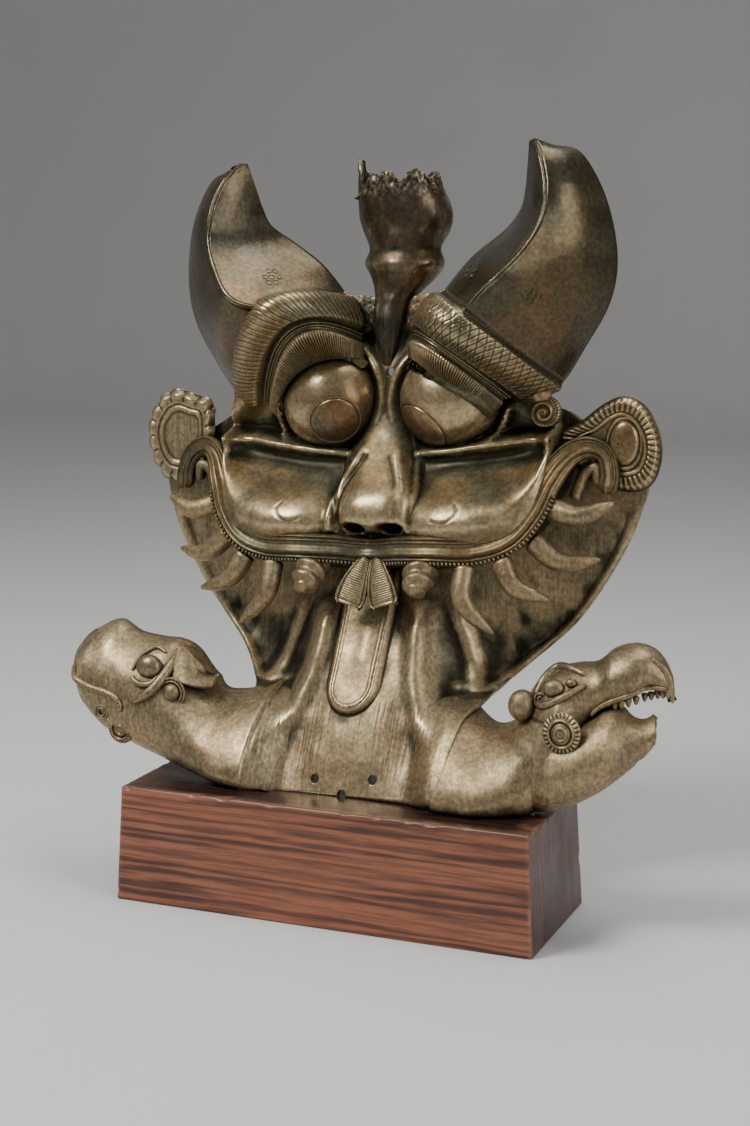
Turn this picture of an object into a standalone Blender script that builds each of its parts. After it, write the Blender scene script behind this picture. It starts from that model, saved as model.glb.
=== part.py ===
"""A cast bronze kirtimukha mask, hollow and open at the back, standing on a wooden block."""

import math

import bmesh
import bpy
import numpy as np

# Driving dimensions, in metres
BLOCK_TOP = (0.250, 0.089)
BLOCK_FOOT = (0.2566, 0.0952)
BLOCK_HEIGHT = 0.0683
BLOCK_EDGE = 0.0012
MASK_HEIGHT = 0.365
MASK_OFFSET = 0.003
REST_GAP = 0.0003
FINEST_CELL = 0.00165
KEPT_SHARE = 0.0255
FOOT_CUTTER = (2 * MASK_HEIGHT, MASK_HEIGHT, MASK_HEIGHT / 6)

# The mask's forms are given in 365ths of its height, which are millimetres at this size:
# x from the middle of the face, y from front to back, z upwards with FOOT_Z at the mask's foot
UNIT = MASK_HEIGHT / 365.0
WALL = 3.8
FOOT_Z = 68.6
FOOT_HEIGHT = BLOCK_HEIGHT + REST_GAP
NAIL_HOLE = 5.4
TILT = 0.035
HORN_TILT = 0.055


def clear_scene():
    """Remove every object, mesh and collection that the file starts with."""
    for thing in list(bpy.data.objects):
        bpy.data.objects.remove(thing, do_unlink=True)
    for group in list(bpy.data.collections):
        bpy.data.collections.remove(group)


def collection(name):
    """A new collection in the scene."""
    group = bpy.data.collections.new(name)
    bpy.context.scene.collection.children.link(group)
    return group


def material(name, colour, roughness, metallic):
    """A Principled material of one plain colour."""
    made = bpy.data.materials.new(name)
    made.use_nodes = True
    shader = made.node_tree.nodes["Principled BSDF"]
    shader.inputs["Base Color"].default_value = (*colour, 1.0)
    shader.inputs["Roughness"].default_value = roughness
    shader.inputs["Metallic"].default_value = metallic
    return made


def spline(points, count):
    """count points evenly spread along a smooth curve through the given points."""
    knots = np.array(points, float)
    ends = np.vstack([2 * knots[0] - knots[1], knots, 2 * knots[-1] - knots[-2]])
    spot = np.linspace(0, len(knots) - 1, count)
    first = np.minimum(spot.astype(int), len(knots) - 2)
    t = (spot - first)[:, None]
    a, b, c, d = (ends[first + k] for k in range(4))
    return 0.5 * (2 * b + (c - a) * t + (2 * a - 5 * b + 4 * c - d) * t**2 + (3 * b - a - 3 * c + d) * t**3)


def curve_value(knots, where):
    """A smooth function of one variable through (place, value) knots."""
    fine = spline(sorted(knots), 200)
    return np.interp(where, fine[:, 0], fine[:, 1])


def smooth_step(value):
    """0 below 0, 1 above 1, and a soft S between."""
    t = np.clip(value, 0, 1)
    return t * t * (3 - 2 * t)


def nearer(a, b, blend):
    """The nearer to the viewer of two depths, with a fillet of the given size."""
    share = np.clip(0.5 + 0.5 * (b - a) / blend, 0, 1)
    return b + (a - b) * share - blend * share * (1 - share)


def dome(x, z, centre, radii):
    """Depth of the front of an ellipsoid, and far away outside it."""
    inside = 1 - ((x - centre[0]) / radii[0]) ** 2 - ((z - centre[2]) / radii[2]) ** 2
    front = centre[1] - radii[1] * np.sqrt(np.clip(inside, 0, 1))
    return np.where(inside > 0, front, centre[1] + 30 * (1 - np.clip(inside, -1, 0) * 2))


def distance_to(line, x, z):
    """Distance in the x-z plane from each place to a polyline."""
    best = np.full(np.shape(x), 1e6)
    for (ax, az), (bx, bz) in zip(line[:-1], line[1:]):
        run = (bx - ax) ** 2 + (bz - az) ** 2
        t = np.clip(((x - ax) * (bx - ax) + (z - az) * (bz - az)) / run, 0, 1)
        best = np.minimum(best, np.hypot(x - ax - t * (bx - ax), z - az - t * (bz - az)))
    return best


def place(points, side=1, tilt=TILT):
    """World places, in metres, of points given for the right side."""
    p = np.array(points, float).reshape(-1, 3)
    x = p[:, 0] * side
    z = FOOT_HEIGHT + (p[:, 2] - FOOT_Z + tilt * x) * UNIT
    return np.stack([x * UNIT + MASK_OFFSET, p[:, 1] * UNIT, z], -1)


def sheet(name, grid, thickness=WALL):
    """A closed wall whose front is the grid of points, rows by columns, facing the viewer."""
    rows, columns = grid.shape[:2]
    mesh = bpy.data.meshes.new(name)
    index = np.arange(rows * columns).reshape(rows, columns)
    faces = np.stack([index[:-1, :-1], index[:-1, 1:], index[1:, 1:], index[1:, :-1]], -1).reshape(-1, 4)
    flat = grid.reshape(-1, 3)
    middle = faces[len(faces) // 2]
    normal = np.cross(flat[middle[1]] - flat[middle[0]], flat[middle[3]] - flat[middle[0]])
    if normal[1] > 0:
        faces = faces[:, ::-1]
    mesh.from_pydata(flat.tolist(), [], faces.tolist())
    made = bpy.data.objects.new(name, mesh)
    SHAPES.objects.link(made)
    wall = made.modifiers.new("wall", "SOLIDIFY")
    wall.thickness = thickness * UNIT
    wall.offset = -1
    wall.use_even_offset = False
    return made


def rod(name, points, radii, side=1, tilt=TILT, flat=1.0):
    """A closed round rod along the points, whose radius runs through radii."""
    path = spline(points, 14)
    girth = np.interp(np.linspace(0, 1, 14), np.linspace(0, 1, len(radii)), radii)
    data = bpy.data.curves.new(name, "CURVE")
    data.dimensions = "3D"
    data.bevel_depth = UNIT
    data.bevel_resolution = 2
    data.use_fill_caps = True
    line = data.splines.new("POLY")
    line.points.add(len(path) - 1)
    for knot, spot, radius in zip(line.points, place(path, side, tilt), girth):
        knot.co = (*spot, 1.0)
        knot.radius = radius
    made = bpy.data.objects.new(name, data)
    SHAPES.objects.link(made)
    return made


def ball(name, centre, radii, side=1, tilt=TILT):
    """A closed ellipsoid."""
    mesh = bpy.data.meshes.new(name)
    shape = bmesh.new()
    bmesh.ops.create_uvsphere(shape, u_segments=20, v_segments=12, radius=1.0)
    bmesh.ops.scale(shape, vec=[r * UNIT for r in radii], verts=shape.verts)
    bmesh.ops.translate(shape, vec=place(centre, side, tilt)[0], verts=shape.verts)
    shape.to_mesh(mesh)
    shape.free()
    made = bpy.data.objects.new(name, mesh)
    SHAPES.objects.link(made)
    return made


# The face and neck: half the width of their outline at each height
OUTLINE = [(66, 60), (90, 64), (108, 66), (119, 70), (139, 93), (156, 112), (174, 126), (194, 138),
           (215, 148), (238, 154), (252, 152), (262, 142), (272, 122), (284, 104), (300, 98), (318, 88),
           (334, 58), (348, 33)]
# Depth of the middle of the neck and of the back rim at each height
NECK_FRONT = [(60, -20), (72, -15), (90, -9), (114, 3), (140, 20), (163, 34), (195, 46), (260, 52)]
RIM = [(60, -22), (72, -16), (95, 4), (119, 24), (139, 52), (156, 64), (180, 66), (240, 69), (360, 67)]
FOLD = [(27, 168), (30, 150), (33, 133), (40, 112), (54, 96), (72, 88)]
EYE = (37.8, 64.0, 290.0)
EYE_RADIUS = 28.5
BROW_ARCH = 6.0
BROW_CLEAR = 318.0


def arm_depth(x, z):
    """Front of the half-round arm where it leaves the neck."""
    across = np.clip((z - 95) / 29, -0.98, 0.98)
    lean = curve_value(RIM, np.clip(z, 66, 122))
    return lean + 3 - 24 * np.sqrt(1 - across**2)


def face_depth(x, z):
    """Front of the neck, jaws and face at each place."""
    ax = np.abs(x)
    middle = curve_value(NECK_FRONT, z)
    rim = curve_value(RIM, z)
    half = curve_value(OUTLINE, z)
    depth = middle + (rim - middle) * smooth_step((ax / half - 0.12) / 0.8)
    fold = distance_to(FOLD, ax, z)
    depth -= 9 * np.exp(-((fold / 8) ** 2)) * smooth_step((175 - z) / 20)
    tongue = 16 - np.hypot(ax, np.maximum(0, 129 - z))
    depth -= 4 * smooth_step(tongue / 3)
    arms = smooth_step((ax - 36) / 22) * smooth_step((126 - z) / 10)
    depth = depth + (np.minimum(arm_depth(ax, z), depth) - depth) * arms
    reach = np.where(z < 262, 66.0, 92.0)
    inside = 1 - (np.clip(ax / 107, 0, 2) ** 3 + np.abs((z - 262) / reach) ** 3) ** (1 / 3)
    front = 31 + 31 * (ax / 127) ** 4 + 34 * smooth_step((z - 222) / 42)
    front -= 9 * np.exp(-(((z - 258 - 0.05 * ax) / 5) ** 2)) * smooth_step((ax - 10) / 20)
    front = nearer(front, dome(ax, z, (60, 54, 226), (44, 36, 29)), 8)
    front = nearer(front, dome(x, z, EYE, (EYE_RADIUS,) * 3), 1)
    front = nearer(front, dome(-x, z, EYE, (EYE_RADIUS,) * 3), 1)
    front -= 13 * np.exp(-((ax / 8) ** 2)) * smooth_step((z - 226) / 12) * smooth_step((290 - z) / 40)
    front = nearer(front, dome(ax, z, (21, 38, 224), (10, 12, 10)), 4)
    front = nearer(front, dome(ax, z, (0, 40, 231), (24, 25, 21)), 5)
    return depth + (np.minimum(front, depth + 6) - depth) * smooth_step(inside / 0.05)


def face_sheet():
    """The neck, jaws and face as one wall."""
    z = np.linspace(FOOT_Z - 3, 347, 116)[:, None]
    share = np.linspace(-1, 1, 121)[None, :]
    x = share * curve_value(OUTLINE, z)
    z = z + 0 * x
    grid = place(np.stack([x, face_depth(x, z), z], -1)).reshape(*x.shape, 3)
    made = sheet("face", grid)
    clear_behind_horns(made)
    return made


# The horns: inner edge, ridge and outer edge, from the tip down to the eyelid's bead line
HORN_INNER = [(87, 52, 432), (84.5, 57, 418), (82, 61, 406), (78, 65, 395), (66, 73, 384), (47, 71, 370),
              (30, 68, 351), (21, 61, 340), (17, 56, 328), (15, 55, 318), (14, 55, 310), (14, 60, 309)]
HORN_RIDGE = [(90, 51, 434), (97, 41, 422), (102, 34, 406), (102, 28, 389), (94, 19, 372), (80, 8, 356),
              (64, 12, 345), (55, 9, 337), (45, 23, 327), (42, 19, 318), (41, 30, 309), (40, 46, 308)]
HORN_OUTER = [(95, 58, 432), (115, 59, 423), (129, 61, 398), (135, 65, 366), (131, 66, 340), (117, 65, 315),
              (104, 66, 296), (97, 60, 291), (83, 51, 292), (77, 50, 286), (66, 51, 281), (63, 61, 282)]


def clear_behind_horns(made):
    """Take the face's wall away behind the horns and brows, which have walls of their own."""
    border = [(x, z) for x, _, z in HORN_INNER] + [(x, z) for x, _, z in reversed(HORN_OUTER)]
    border = np.array(border + border[:1])
    shape = bmesh.new()
    shape.from_mesh(made.data)
    doomed = []
    for face in shape.faces:
        spot = face.calc_center_median()
        x = (spot.x - MASK_OFFSET) / UNIT
        z = (spot.z - FOOT_HEIGHT) / UNIT + FOOT_Z - TILT * x
        x = abs(x)
        inside = False
        for (ax, az), (bx, bz) in zip(border[:-1], border[1:]):
            if (az > z) != (bz > z) and x < ax + (z - az) / (bz - az) * (bx - ax):
                inside = not inside
        if inside and z > BROW_CLEAR and distance_to(border, x, z) > 6:
            doomed.append(face)
    bmesh.ops.delete(shape, geom=doomed, context="FACES")
    shape.to_mesh(made.data)
    shape.free()


def horn_sheet(side):
    """One horn with the brow bands at its foot, as one wall folded along the ridge."""
    rows, last = 77, len(HORN_RIDGE) - 1
    inner, ridge, outer = (spline(line, rows)[:, None] for line in (HORN_INNER, HORN_RIDGE, HORN_OUTER))
    share = np.linspace(0, 1, 31)[None, :, None]
    left, right = np.clip(share * 2, 0, 1), np.clip(share * 2 - 1, 0, 1)
    folded = inner + (ridge - inner) * left + (outer - ridge) * right
    bulge = (np.sin(left * math.pi) * 3 + np.sin(right * math.pi) * 6) * np.array([0, -1.0, 0])
    folded = folded + bulge * np.minimum(1, np.linspace(0, 6, rows))[:, None, None]
    arched = inner * (1 - share) * (1 - 2 * share)
    arched = arched + ridge * 4 * share * (1 - share) + outer * share * (2 * share - 1)
    down = smooth_step((np.linspace(0, last, rows) - 5.2) / 1.5)[:, None, None]
    grid = folded + (arched - folded) * down
    grid[..., 2:] -= side * BROW_ARCH * np.sin(share * math.pi) * down
    for knot, girth in ((6, 3.5), (8, 3), (10, 2.6)):
        row = grid[round(knot / last * (rows - 1))]
        rod("brow band", row[::3], (girth, girth + 1, girth), side, HORN_TILT)
    return sheet("horn", place(grid, side, HORN_TILT).reshape(rows, 31, 3))


# The lip band's middle line from the nose to its curl, and the fangs that hang from it
LIP = [(0, 29, 204), (20, 24, 206), (42, 20, 207), (66, 25, 207), (84, 30, 213), (96, 36, 227),
       (103, 43, 244), (111, 52, 257), (121, 58, 262), (131, 60, 258), (135, 57, 247), (134, 54, 236)]
FANGS = [[(104, 42, 229), (122, 40, 225), (141, 46, 232)], [(95, 37, 212), (112, 38, 199), (134, 45, 200)],
         [(80, 28, 201), (90, 24, 186), (110, 25, 179)], [(60, 24, 198), (62, 16, 178), (80, 17, 160)]]


def face_trims(side):
    """The lip band, fangs, knob, leaf and ear of one side."""
    rod("lip", LIP, (7, 7, 7, 7, 6, 5.5, 5), side)
    beads = [(x * 0.93, y, z - 7.5) for x, y, z in LIP[:6]]
    rod("beads", beads, (2.6, 2.6), side)
    rod("curl", [(114, 56, 232), (119, 60, 246), (126, 60, 250), (128, 60, 240)], (3.5, 3.5), side)
    for line in FANGS:
        rod("fang", line, (6.4, 6.2, 5, 1.2), side)
    rod("knob", [(33, 30, 203), (34, 28, 192), (35, 25, 181)], (7, 8.5, 9), side)
    rod("leaf", [(7, 27, 197), (11, 25, 184), (17, 24, 173)], (6, 8.5, 8), side)
    turn = np.linspace(0, 2 * math.pi, 37)[:, None]
    reach = np.linspace(0.05, 1, 7)[None, :]
    x = 137 + 22 * reach * np.cos(turn)
    z = 268 + 24 * reach * np.sin(turn)
    y = 64 - 5 * smooth_step((reach - 0.55) / 0.25) + 0 * turn
    sheet("ear", place(np.stack([x, y, z], -1), side, 0.02).reshape(37, 7, 3))
    rod("temple", [(84, 56, 291), (98, 56, 279), (112, 58, 272)], (8, 7, 6), side)


# The arms and the bird-like heads: upper and lower outline from the neck outwards
RIGHT_UPPER = [(55, 124), (64, 122), (82, 112), (94, 116), (101, 131), (112, 145), (129, 151), (141, 153),
               (151, 161), (164, 164), (176, 160), (185, 148), (187, 135)]
RIGHT_LOWER = [(55, 67), (66, 66), (86, 66), (100, 67), (113, 70), (126, 90), (140, 120), (150, 129),
               (158, 132), (165, 136), (172, 141), (180, 140), (185, 134)]
JAW_UPPER = [(112, 120), (128, 118), (142, 120), (154, 128), (163, 123), (169, 124), (173, 127)]
JAW_LOWER = [(112, 69), (124, 71), (136, 76), (148, 83), (159, 92), (169, 102), (176, 112)]
LEFT_UPPER = [(55, 124), (66, 119), (88, 116), (98, 124), (108, 139), (118, 145), (130, 146), (146, 148),
              (160, 154), (173, 150), (182, 141), (189, 130), (191, 122)]
LEFT_LOWER = [(55, 69), (62, 70), (76, 70), (92, 71), (108, 73), (122, 76), (136, 80), (148, 84), (159, 88),
              (168, 94), (174, 102), (179, 112), (187, 120)]


def limb_sheet(name, upper, lower, side):
    """A half-round wall between an upper and a lower outline."""
    rows, columns = 60, 25
    top, foot = spline(upper, rows), spline(lower, rows)
    share = np.linspace(-1, 1, columns)[None, :]
    x = (top[:, :1] + foot[:, :1]) / 2 + (top[:, :1] - foot[:, :1]) / 2 * share
    z = (top[:, 1:] + foot[:, 1:]) / 2 + (top[:, 1:] - foot[:, 1:]) / 2 * share
    far = smooth_step((x - 80) / 50)
    near_rim = curve_value(RIM, np.clip(z, 66, 122)) + 3
    far_rim = 9 + 0.25 * (z - 115)
    thick = np.minimum(24, 0.5 * np.hypot(*(top - foot).T)[:, None] + 2)
    y = near_rim + (far_rim - near_rim) * far - thick * np.sqrt(np.clip(1 - share**2, 0, 1))
    grid = np.stack([x, y, z], -1)
    return sheet(name, place(grid, side, 0.0).reshape(rows, columns, 3))


def heads():
    """Both arms with their heads, the right one open-beaked and the left one closed."""
    limb_sheet("right arm", RIGHT_UPPER, RIGHT_LOWER, 1)
    limb_sheet("right jaw", JAW_UPPER, JAW_LOWER, 1)
    limb_sheet("left arm", LEFT_UPPER, LEFT_LOWER, -1)
    ball("temple knob", (94, 54, 281), (9, 9, 9), 1, HORN_TILT)
    ball("right crest", (103, 0, 128), (8, 8, 9), 1, 0)
    rod("right brow", [(112, -2, 140), (124, -10, 147), (136, -4, 150)], (4, 5, 3), 1, 0)
    ball("right eye", (124, -9, 141), (7, 6, 6), 1, 0)
    ball("right gill", (140, -9, 115), (12, 7, 12), 1, 0)
    for step in range(7):
        ball("tooth", (150 + 4.6 * step, -4 + 1.6 * step, 131 + 1.7 * step), (2.2, 4, 3), 1, 0)
    ball("left eye", (131, -8, 131), (8, 7, 8), -1, 0)
    ball("left knob", (116, -8, 117), (8, 7, 8), -1, 0)
    rod("left brow", [(120, -8, 131), (126, -12, 122), (138, -8, 115)], (3, 4, 3), -1, 0)
    ball("left gill", (148, -8, 93), (10, 6, 9), -1, 0)


# The finial: radius and depth of its middle at each height, and its jagged broken top
FINIAL = [(306, 4, 61), (320, 6.5, 62), (334, 11, 64), (348, 17, 69), (360, 24, 76), (368, 27, 78),
          (376, 25, 79), (383, 25, 80), (394, 30, 80), (404, 31, 80), (413, 29, 79)]
FINIAL_WALL = 4.2
SLIVER = 19.0


def finial_sheet():
    """The hollow stem between the horns, round in front and open behind."""
    rows, columns = 46, 37
    profile = spline(FINIAL, rows)
    turn = np.linspace(-0.78, 0.78, columns) * math.pi
    x = profile[:, 1:2] * np.sin(turn) - 1.5 + 0 * profile[:, :1]
    y = profile[:, 2:] - profile[:, 1:2] * np.cos(turn) * 0.8
    z = profile[:, :1] + 0 * turn
    rise = smooth_step((z - 392) / 20)
    ragged = 2.5 * np.sin(turn * 7) + 2 * np.sin(turn * 13 + 1) - 9 * np.exp(-(((turn + 0.75) / 0.28) ** 2))
    ragged = ragged + SLIVER * np.exp(-(((turn + 1.45) / 0.2) ** 2))
    grid = place(np.stack([x, y, z + rise * ragged], -1), 1, 0).reshape(rows, columns, 3)
    return sheet("finial", grid, FINIAL_WALL)


def membrane():
    """The low wall of bronze that joins the finial to the horns."""
    for side in (-1, 1):
        rod("membrane", [(4, 70, 338), (18, 70, 343), (32, 69, 350)], (5, 5, 5), side)


def joined(name, made_from):
    """One mesh object of all the given objects as their modifiers leave them."""
    depsgraph = bpy.context.evaluated_depsgraph_get()
    whole = bmesh.new()
    for thing in made_from:
        mesh = bpy.data.meshes.new_from_object(thing.evaluated_get(depsgraph))
        single = bmesh.new()
        single.from_mesh(mesh)
        bmesh.ops.remove_doubles(single, verts=single.verts, dist=1e-6)
        bmesh.ops.recalc_face_normals(single, faces=single.faces)
        single.to_mesh(mesh)
        single.free()
        whole.from_mesh(mesh)
        bpy.data.meshes.remove(mesh)
    mesh = bpy.data.meshes.new(name)
    whole.to_mesh(mesh)
    whole.free()
    for thing in made_from:
        bpy.data.objects.remove(thing, do_unlink=True)
    return bpy.data.objects.new(name, mesh)


def cutter(made, name):
    """File an object under the cutters."""
    made.name = name
    made.hide_render = True
    made.display_type = "WIRE"
    for group in list(made.users_collection):
        group.objects.unlink(made)
    CUTTERS.objects.link(made)
    return made


def cut(made, tool, name):
    """Take a cutter's shape away."""
    step = made.modifiers.new(name, "BOOLEAN")
    step.operation = "DIFFERENCE"
    step.solver = "EXACT"
    step.object = tool


def drill(name, x, z, y):
    """A nail-hole cutter, straight through the wall."""
    bpy.ops.mesh.primitive_cylinder_add(vertices=16, radius=NAIL_HOLE / 2 * UNIT, depth=40 * UNIT)
    tool = bpy.context.object
    tool.location = place((x, y, z))[0]
    tool.rotation_euler = (math.radians(72), 0, 0)
    return cutter(tool, name)


def make_mask(group, bronze):
    """All forms of the casting, fused into one wall, cut flat below and pierced."""
    face_sheet()
    for side in (-1, 1):
        horn_sheet(side)
        face_trims(side)
    heads()
    finial_sheet()
    membrane()
    mask = joined("mask", list(SHAPES.objects))
    group.objects.link(mask)
    fuse = mask.modifiers.new("fuse", "REMESH")
    fuse.mode = "VOXEL"
    fuse.voxel_size = FINEST_CELL
    soften = mask.modifiers.new("soften", "SMOOTH")
    soften.iterations = 2
    soften.factor = 0.4
    thin = mask.modifiers.new("thin", "DECIMATE")
    thin.ratio = KEPT_SHARE
    bpy.ops.mesh.primitive_cube_add(size=1)
    floor = bpy.context.object
    floor.scale = FOOT_CUTTER
    floor.location = (0, 0, FOOT_HEIGHT - FOOT_CUTTER[2] / 2)
    cut(mask, cutter(floor, "floor cut"), "foot")
    holes = (("left nail", -17.8, 77, -13), ("right nail", 17.8, 78.5, -13), ("brow nail", 0, 306, 58))
    for name, x, z, y in holes:
        cut(mask, drill(name, x, z, y), name)
    cut(mask, drill("foot notch", 0, 69.5, -16), "notch")
    mask.data.materials.append(bronze)
    return mask


def make_block(group, wood):
    """The wooden block: a low frustum with eased edges."""
    bpy.ops.mesh.primitive_cube_add(size=1)
    block = bpy.context.object
    block.name = "block"
    for corner in block.data.vertices:
        size = BLOCK_TOP if corner.co.z > 0 else BLOCK_FOOT
        corner.co.x *= size[0]
        corner.co.y *= size[1]
        corner.co.z = BLOCK_HEIGHT if corner.co.z > 0 else 0.0
    edge = block.modifiers.new("edges", "BEVEL")
    edge.width = BLOCK_EDGE
    edge.segments = 2
    for old in list(block.users_collection):
        old.objects.unlink(block)
    group.objects.link(block)
    block.data.materials.append(wood)
    return block


clear_scene()
PART = collection("kirtimukha mask")
CUTTERS = collection("cutters")
SHAPES = collection("shapes")
BRONZE = material("patinated bronze", (0.16, 0.14, 0.09), 0.42, 0.85)
ROSEWOOD = material("rosewood", (0.22, 0.07, 0.045), 0.35, 0.0)
make_block(PART, ROSEWOOD)
make_mask(PART, BRONZE)
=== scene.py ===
"""A cast bronze kirtimukha mask on its rosewood block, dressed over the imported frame."""

import logging
import math
from dataclasses import dataclass
from enum import Enum
from typing import Sequence

import bpy
import numpy as np
from mathutils import Matrix


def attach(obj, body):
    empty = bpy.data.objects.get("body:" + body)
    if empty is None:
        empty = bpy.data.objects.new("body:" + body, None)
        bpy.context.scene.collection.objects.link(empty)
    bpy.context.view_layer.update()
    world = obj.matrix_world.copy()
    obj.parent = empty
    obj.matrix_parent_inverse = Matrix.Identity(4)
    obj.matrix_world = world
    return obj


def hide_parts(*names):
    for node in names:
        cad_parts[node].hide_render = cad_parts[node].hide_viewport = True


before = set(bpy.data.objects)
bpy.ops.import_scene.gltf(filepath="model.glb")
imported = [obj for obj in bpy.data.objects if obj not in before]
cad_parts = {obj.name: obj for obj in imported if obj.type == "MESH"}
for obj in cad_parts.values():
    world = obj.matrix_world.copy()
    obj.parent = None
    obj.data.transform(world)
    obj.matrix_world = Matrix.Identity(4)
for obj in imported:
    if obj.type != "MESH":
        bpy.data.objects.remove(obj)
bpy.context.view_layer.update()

LOG = logging.getLogger("mask")
Array = np.ndarray
Colour = tuple[float, float, float]
Points = Sequence[Sequence[float]]

# The mask's forms are in millimetres: x from the middle of the face, y from front to back,
# z above the underside of the block, as in the part's source
UNIT = 0.001
FOOT_Z = 68.6
TURN = 2 * math.pi

# How many metres the mask's middle is to the right of the block's, and how much the face and the horns
# lean: the rise for each unit across
MASK_OFFSET = 0.003
TILT = 0.035
HORN_TILT = 0.055

# How much coarser than its front the back of a sheet is
BACK_STEP = 3

# How fine the random relief's lattice is, and the reach in grid steps and height in metres of the
# two reliefs that the finishes read: the crests and grooves, and the broad hollows
LATTICE = 64
FINE_REACH, FINE_HEIGHT = 2, 1.2e-4
BROAD_REACH, BROAD_HEIGHT = 9, 1.3e-3

# The same reliefs on rods and balls, where the height is shifted down, and on the smallest shapes
ROD_HEIGHT, ROD_SHIFT, ROD_BROAD = 4e-4, -0.25, 0.2
SMALL_FINE = 0.35


class Side(Enum):
    """The half of the mask that the viewer sees at the left or at the right."""

    LEFT = -1
    RIGHT = 1


class Slot(Enum):
    """Two material slot names: the mask and the block."""

    MASK = "mask"
    BLOCK = "block"


def smooth_step(value: Array) -> Array:
    """0 below 0, 1 above 1, and 3t^2 - 2t^3 between.

    Args:
        value: any array.

    Returns:
        The eased array.
    """
    t = np.clip(value, 0, 1)
    return t * t * (3 - 2 * t)


def bump(value: Array, width: float) -> Array:
    """A bell of height 1: the exponential of minus the square of value over width.

    Args:
        value: distance from the middle of the bell.
        width: half the bell's width.

    Returns:
        The bell's height.
    """
    return np.exp(-((value / width) ** 2))


def along(points: Points, spot: Array) -> Array:
    """Points of a smooth curve through knots: the Catmull-Rom cubic of the four nearest knots.

    Args:
        points: the knots, one row each.
        spot: where on the curve, counted in knots from 0.

    Returns:
        An array with the shape of spot and one more axis.
    """
    knots = np.array(points, float)
    ends = np.vstack([2 * knots[0] - knots[1], knots, 2 * knots[-1] - knots[-2]])
    spot = np.asarray(spot, float)
    first = np.clip(spot.astype(int), 0, len(knots) - 2)
    t = (spot - first)[..., None]
    a, b, c, d = (ends[first + k] for k in range(4))
    return 0.5 * (2 * b + (c - a) * t + (2 * a - 5 * b + 4 * c - d) * t**2 + (3 * b - a - 3 * c + d) * t**3)


def spline(points: Points, count: int) -> Array:
    """count points evenly spread in knots along the smooth curve through the given ones.

    Args:
        points: the knots.
        count: how many points.

    Returns:
        count rows.
    """
    return along(points, np.linspace(0, len(points) - 1, count))


def even(points: Points, count: int) -> Array:
    """count points at equal distances along the smooth curve: its running length is inverted.

    Args:
        points: the knots.
        count: how many points.

    Returns:
        count rows.
    """
    fine = spline(points, 40 * len(points))
    run = np.concatenate([[0], np.cumsum(np.linalg.norm(np.diff(fine, axis=0), axis=1))])
    wanted = np.linspace(0, run[-1], count)
    return np.stack([np.interp(wanted, run, column) for column in fine.T], -1)


def curve_value(knots: Points, where: Array) -> Array:
    """A smooth function of one variable through (place, value) knots.

    Args:
        knots: the pairs.
        where: the places to look up.

    Returns:
        The values there.
    """
    fine = spline(sorted(knots), 200)
    return np.interp(where, fine[:, 0], fine[:, 1])


def nearer(a: Array, b: Array, blend: float) -> Array:
    """The smaller of two depths, with a fillet: the linear mix less blend times h(1 - h).

    Args:
        a: one depth.
        b: the other.
        blend: size of the fillet.

    Returns:
        The joined depth.
    """
    share = np.clip(0.5 + 0.5 * (b - a) / blend, 0, 1)
    return b + (a - b) * share - blend * share * (1 - share)


def dome(x: Array, z: Array, centre: Sequence[float], radii: Sequence[float]) -> Array:
    """Depth of the front of an ellipsoid: centre less the root of one minus the squared offsets.

    Args:
        x: places across.
        z: places up.
        centre: the ellipsoid's centre.
        radii: its three half-axes.

    Returns:
        The depth, and something far behind outside the ellipse.
    """
    inside = 1 - ((x - centre[0]) / radii[0]) ** 2 - ((z - centre[2]) / radii[2]) ** 2
    front = centre[1] - radii[1] * np.sqrt(np.clip(inside, 0, 1))
    return np.where(inside > 0, front, centre[1] + 30 * (1 - np.clip(inside, -1, 0) * 2))


def distance_to(line: Points, x: Array, z: Array) -> Array:
    """Distance across and up to a polyline: the least distance to its straight pieces.

    Args:
        line: the corners, as (x, z).
        x: places across.
        z: places up.

    Returns:
        The distances.
    """
    best = np.full(np.broadcast(x, z).shape, 1e6)
    for (ax, az), (bx, bz) in zip(line[:-1], line[1:]):
        run = (bx - ax) ** 2 + (bz - az) ** 2
        t = np.clip(((x - ax) * (bx - ax) + (z - az) * (bz - az)) / run, 0, 1)
        best = np.minimum(best, np.hypot(x - ax - t * (bx - ax), z - az - t * (bz - az)))
    return best


def uneven(u: Array, v: Array, seed: int) -> Array:
    """Soft random relief from -1 to 1: lattice values eased between whole numbers of u and v.

    Args:
        u: one coordinate, in cells.
        v: the other.
        seed: which relief.

    Returns:
        The relief.
    """
    lattice = np.random.default_rng(seed).uniform(-1, 1, (LATTICE, LATTICE))
    i, j = np.floor(u).astype(int), np.floor(v).astype(int)
    s, t = smooth_step(u - i), smooth_step(v - j)
    i0, i1, j0, j1 = i % LATTICE, (i + 1) % LATTICE, j % LATTICE, (j + 1) % LATTICE
    low = lattice[i0, j0] * (1 - s) + lattice[i1, j0] * s
    high = lattice[i0, j1] * (1 - s) + lattice[i1, j1] * s
    return low * (1 - t) + high * t


def place(points: Array, side: Side = Side.RIGHT, tilt: float = TILT) -> Array:
    """Places in the frame, in metres: x mirrored to its side, z raised by tilt times x.

    Args:
        points: places in millimetres, given for the right side.
        side: which half they belong to.
        tilt: how much that form leans.

    Returns:
        An array of the same shape.
    """
    p = np.asarray(points, float)
    x = p[..., 0] * side.value
    return np.stack([x * UNIT + MASK_OFFSET, p[..., 1] * UNIT, (p[..., 2] + tilt * x) * UNIT], -1)


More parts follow.
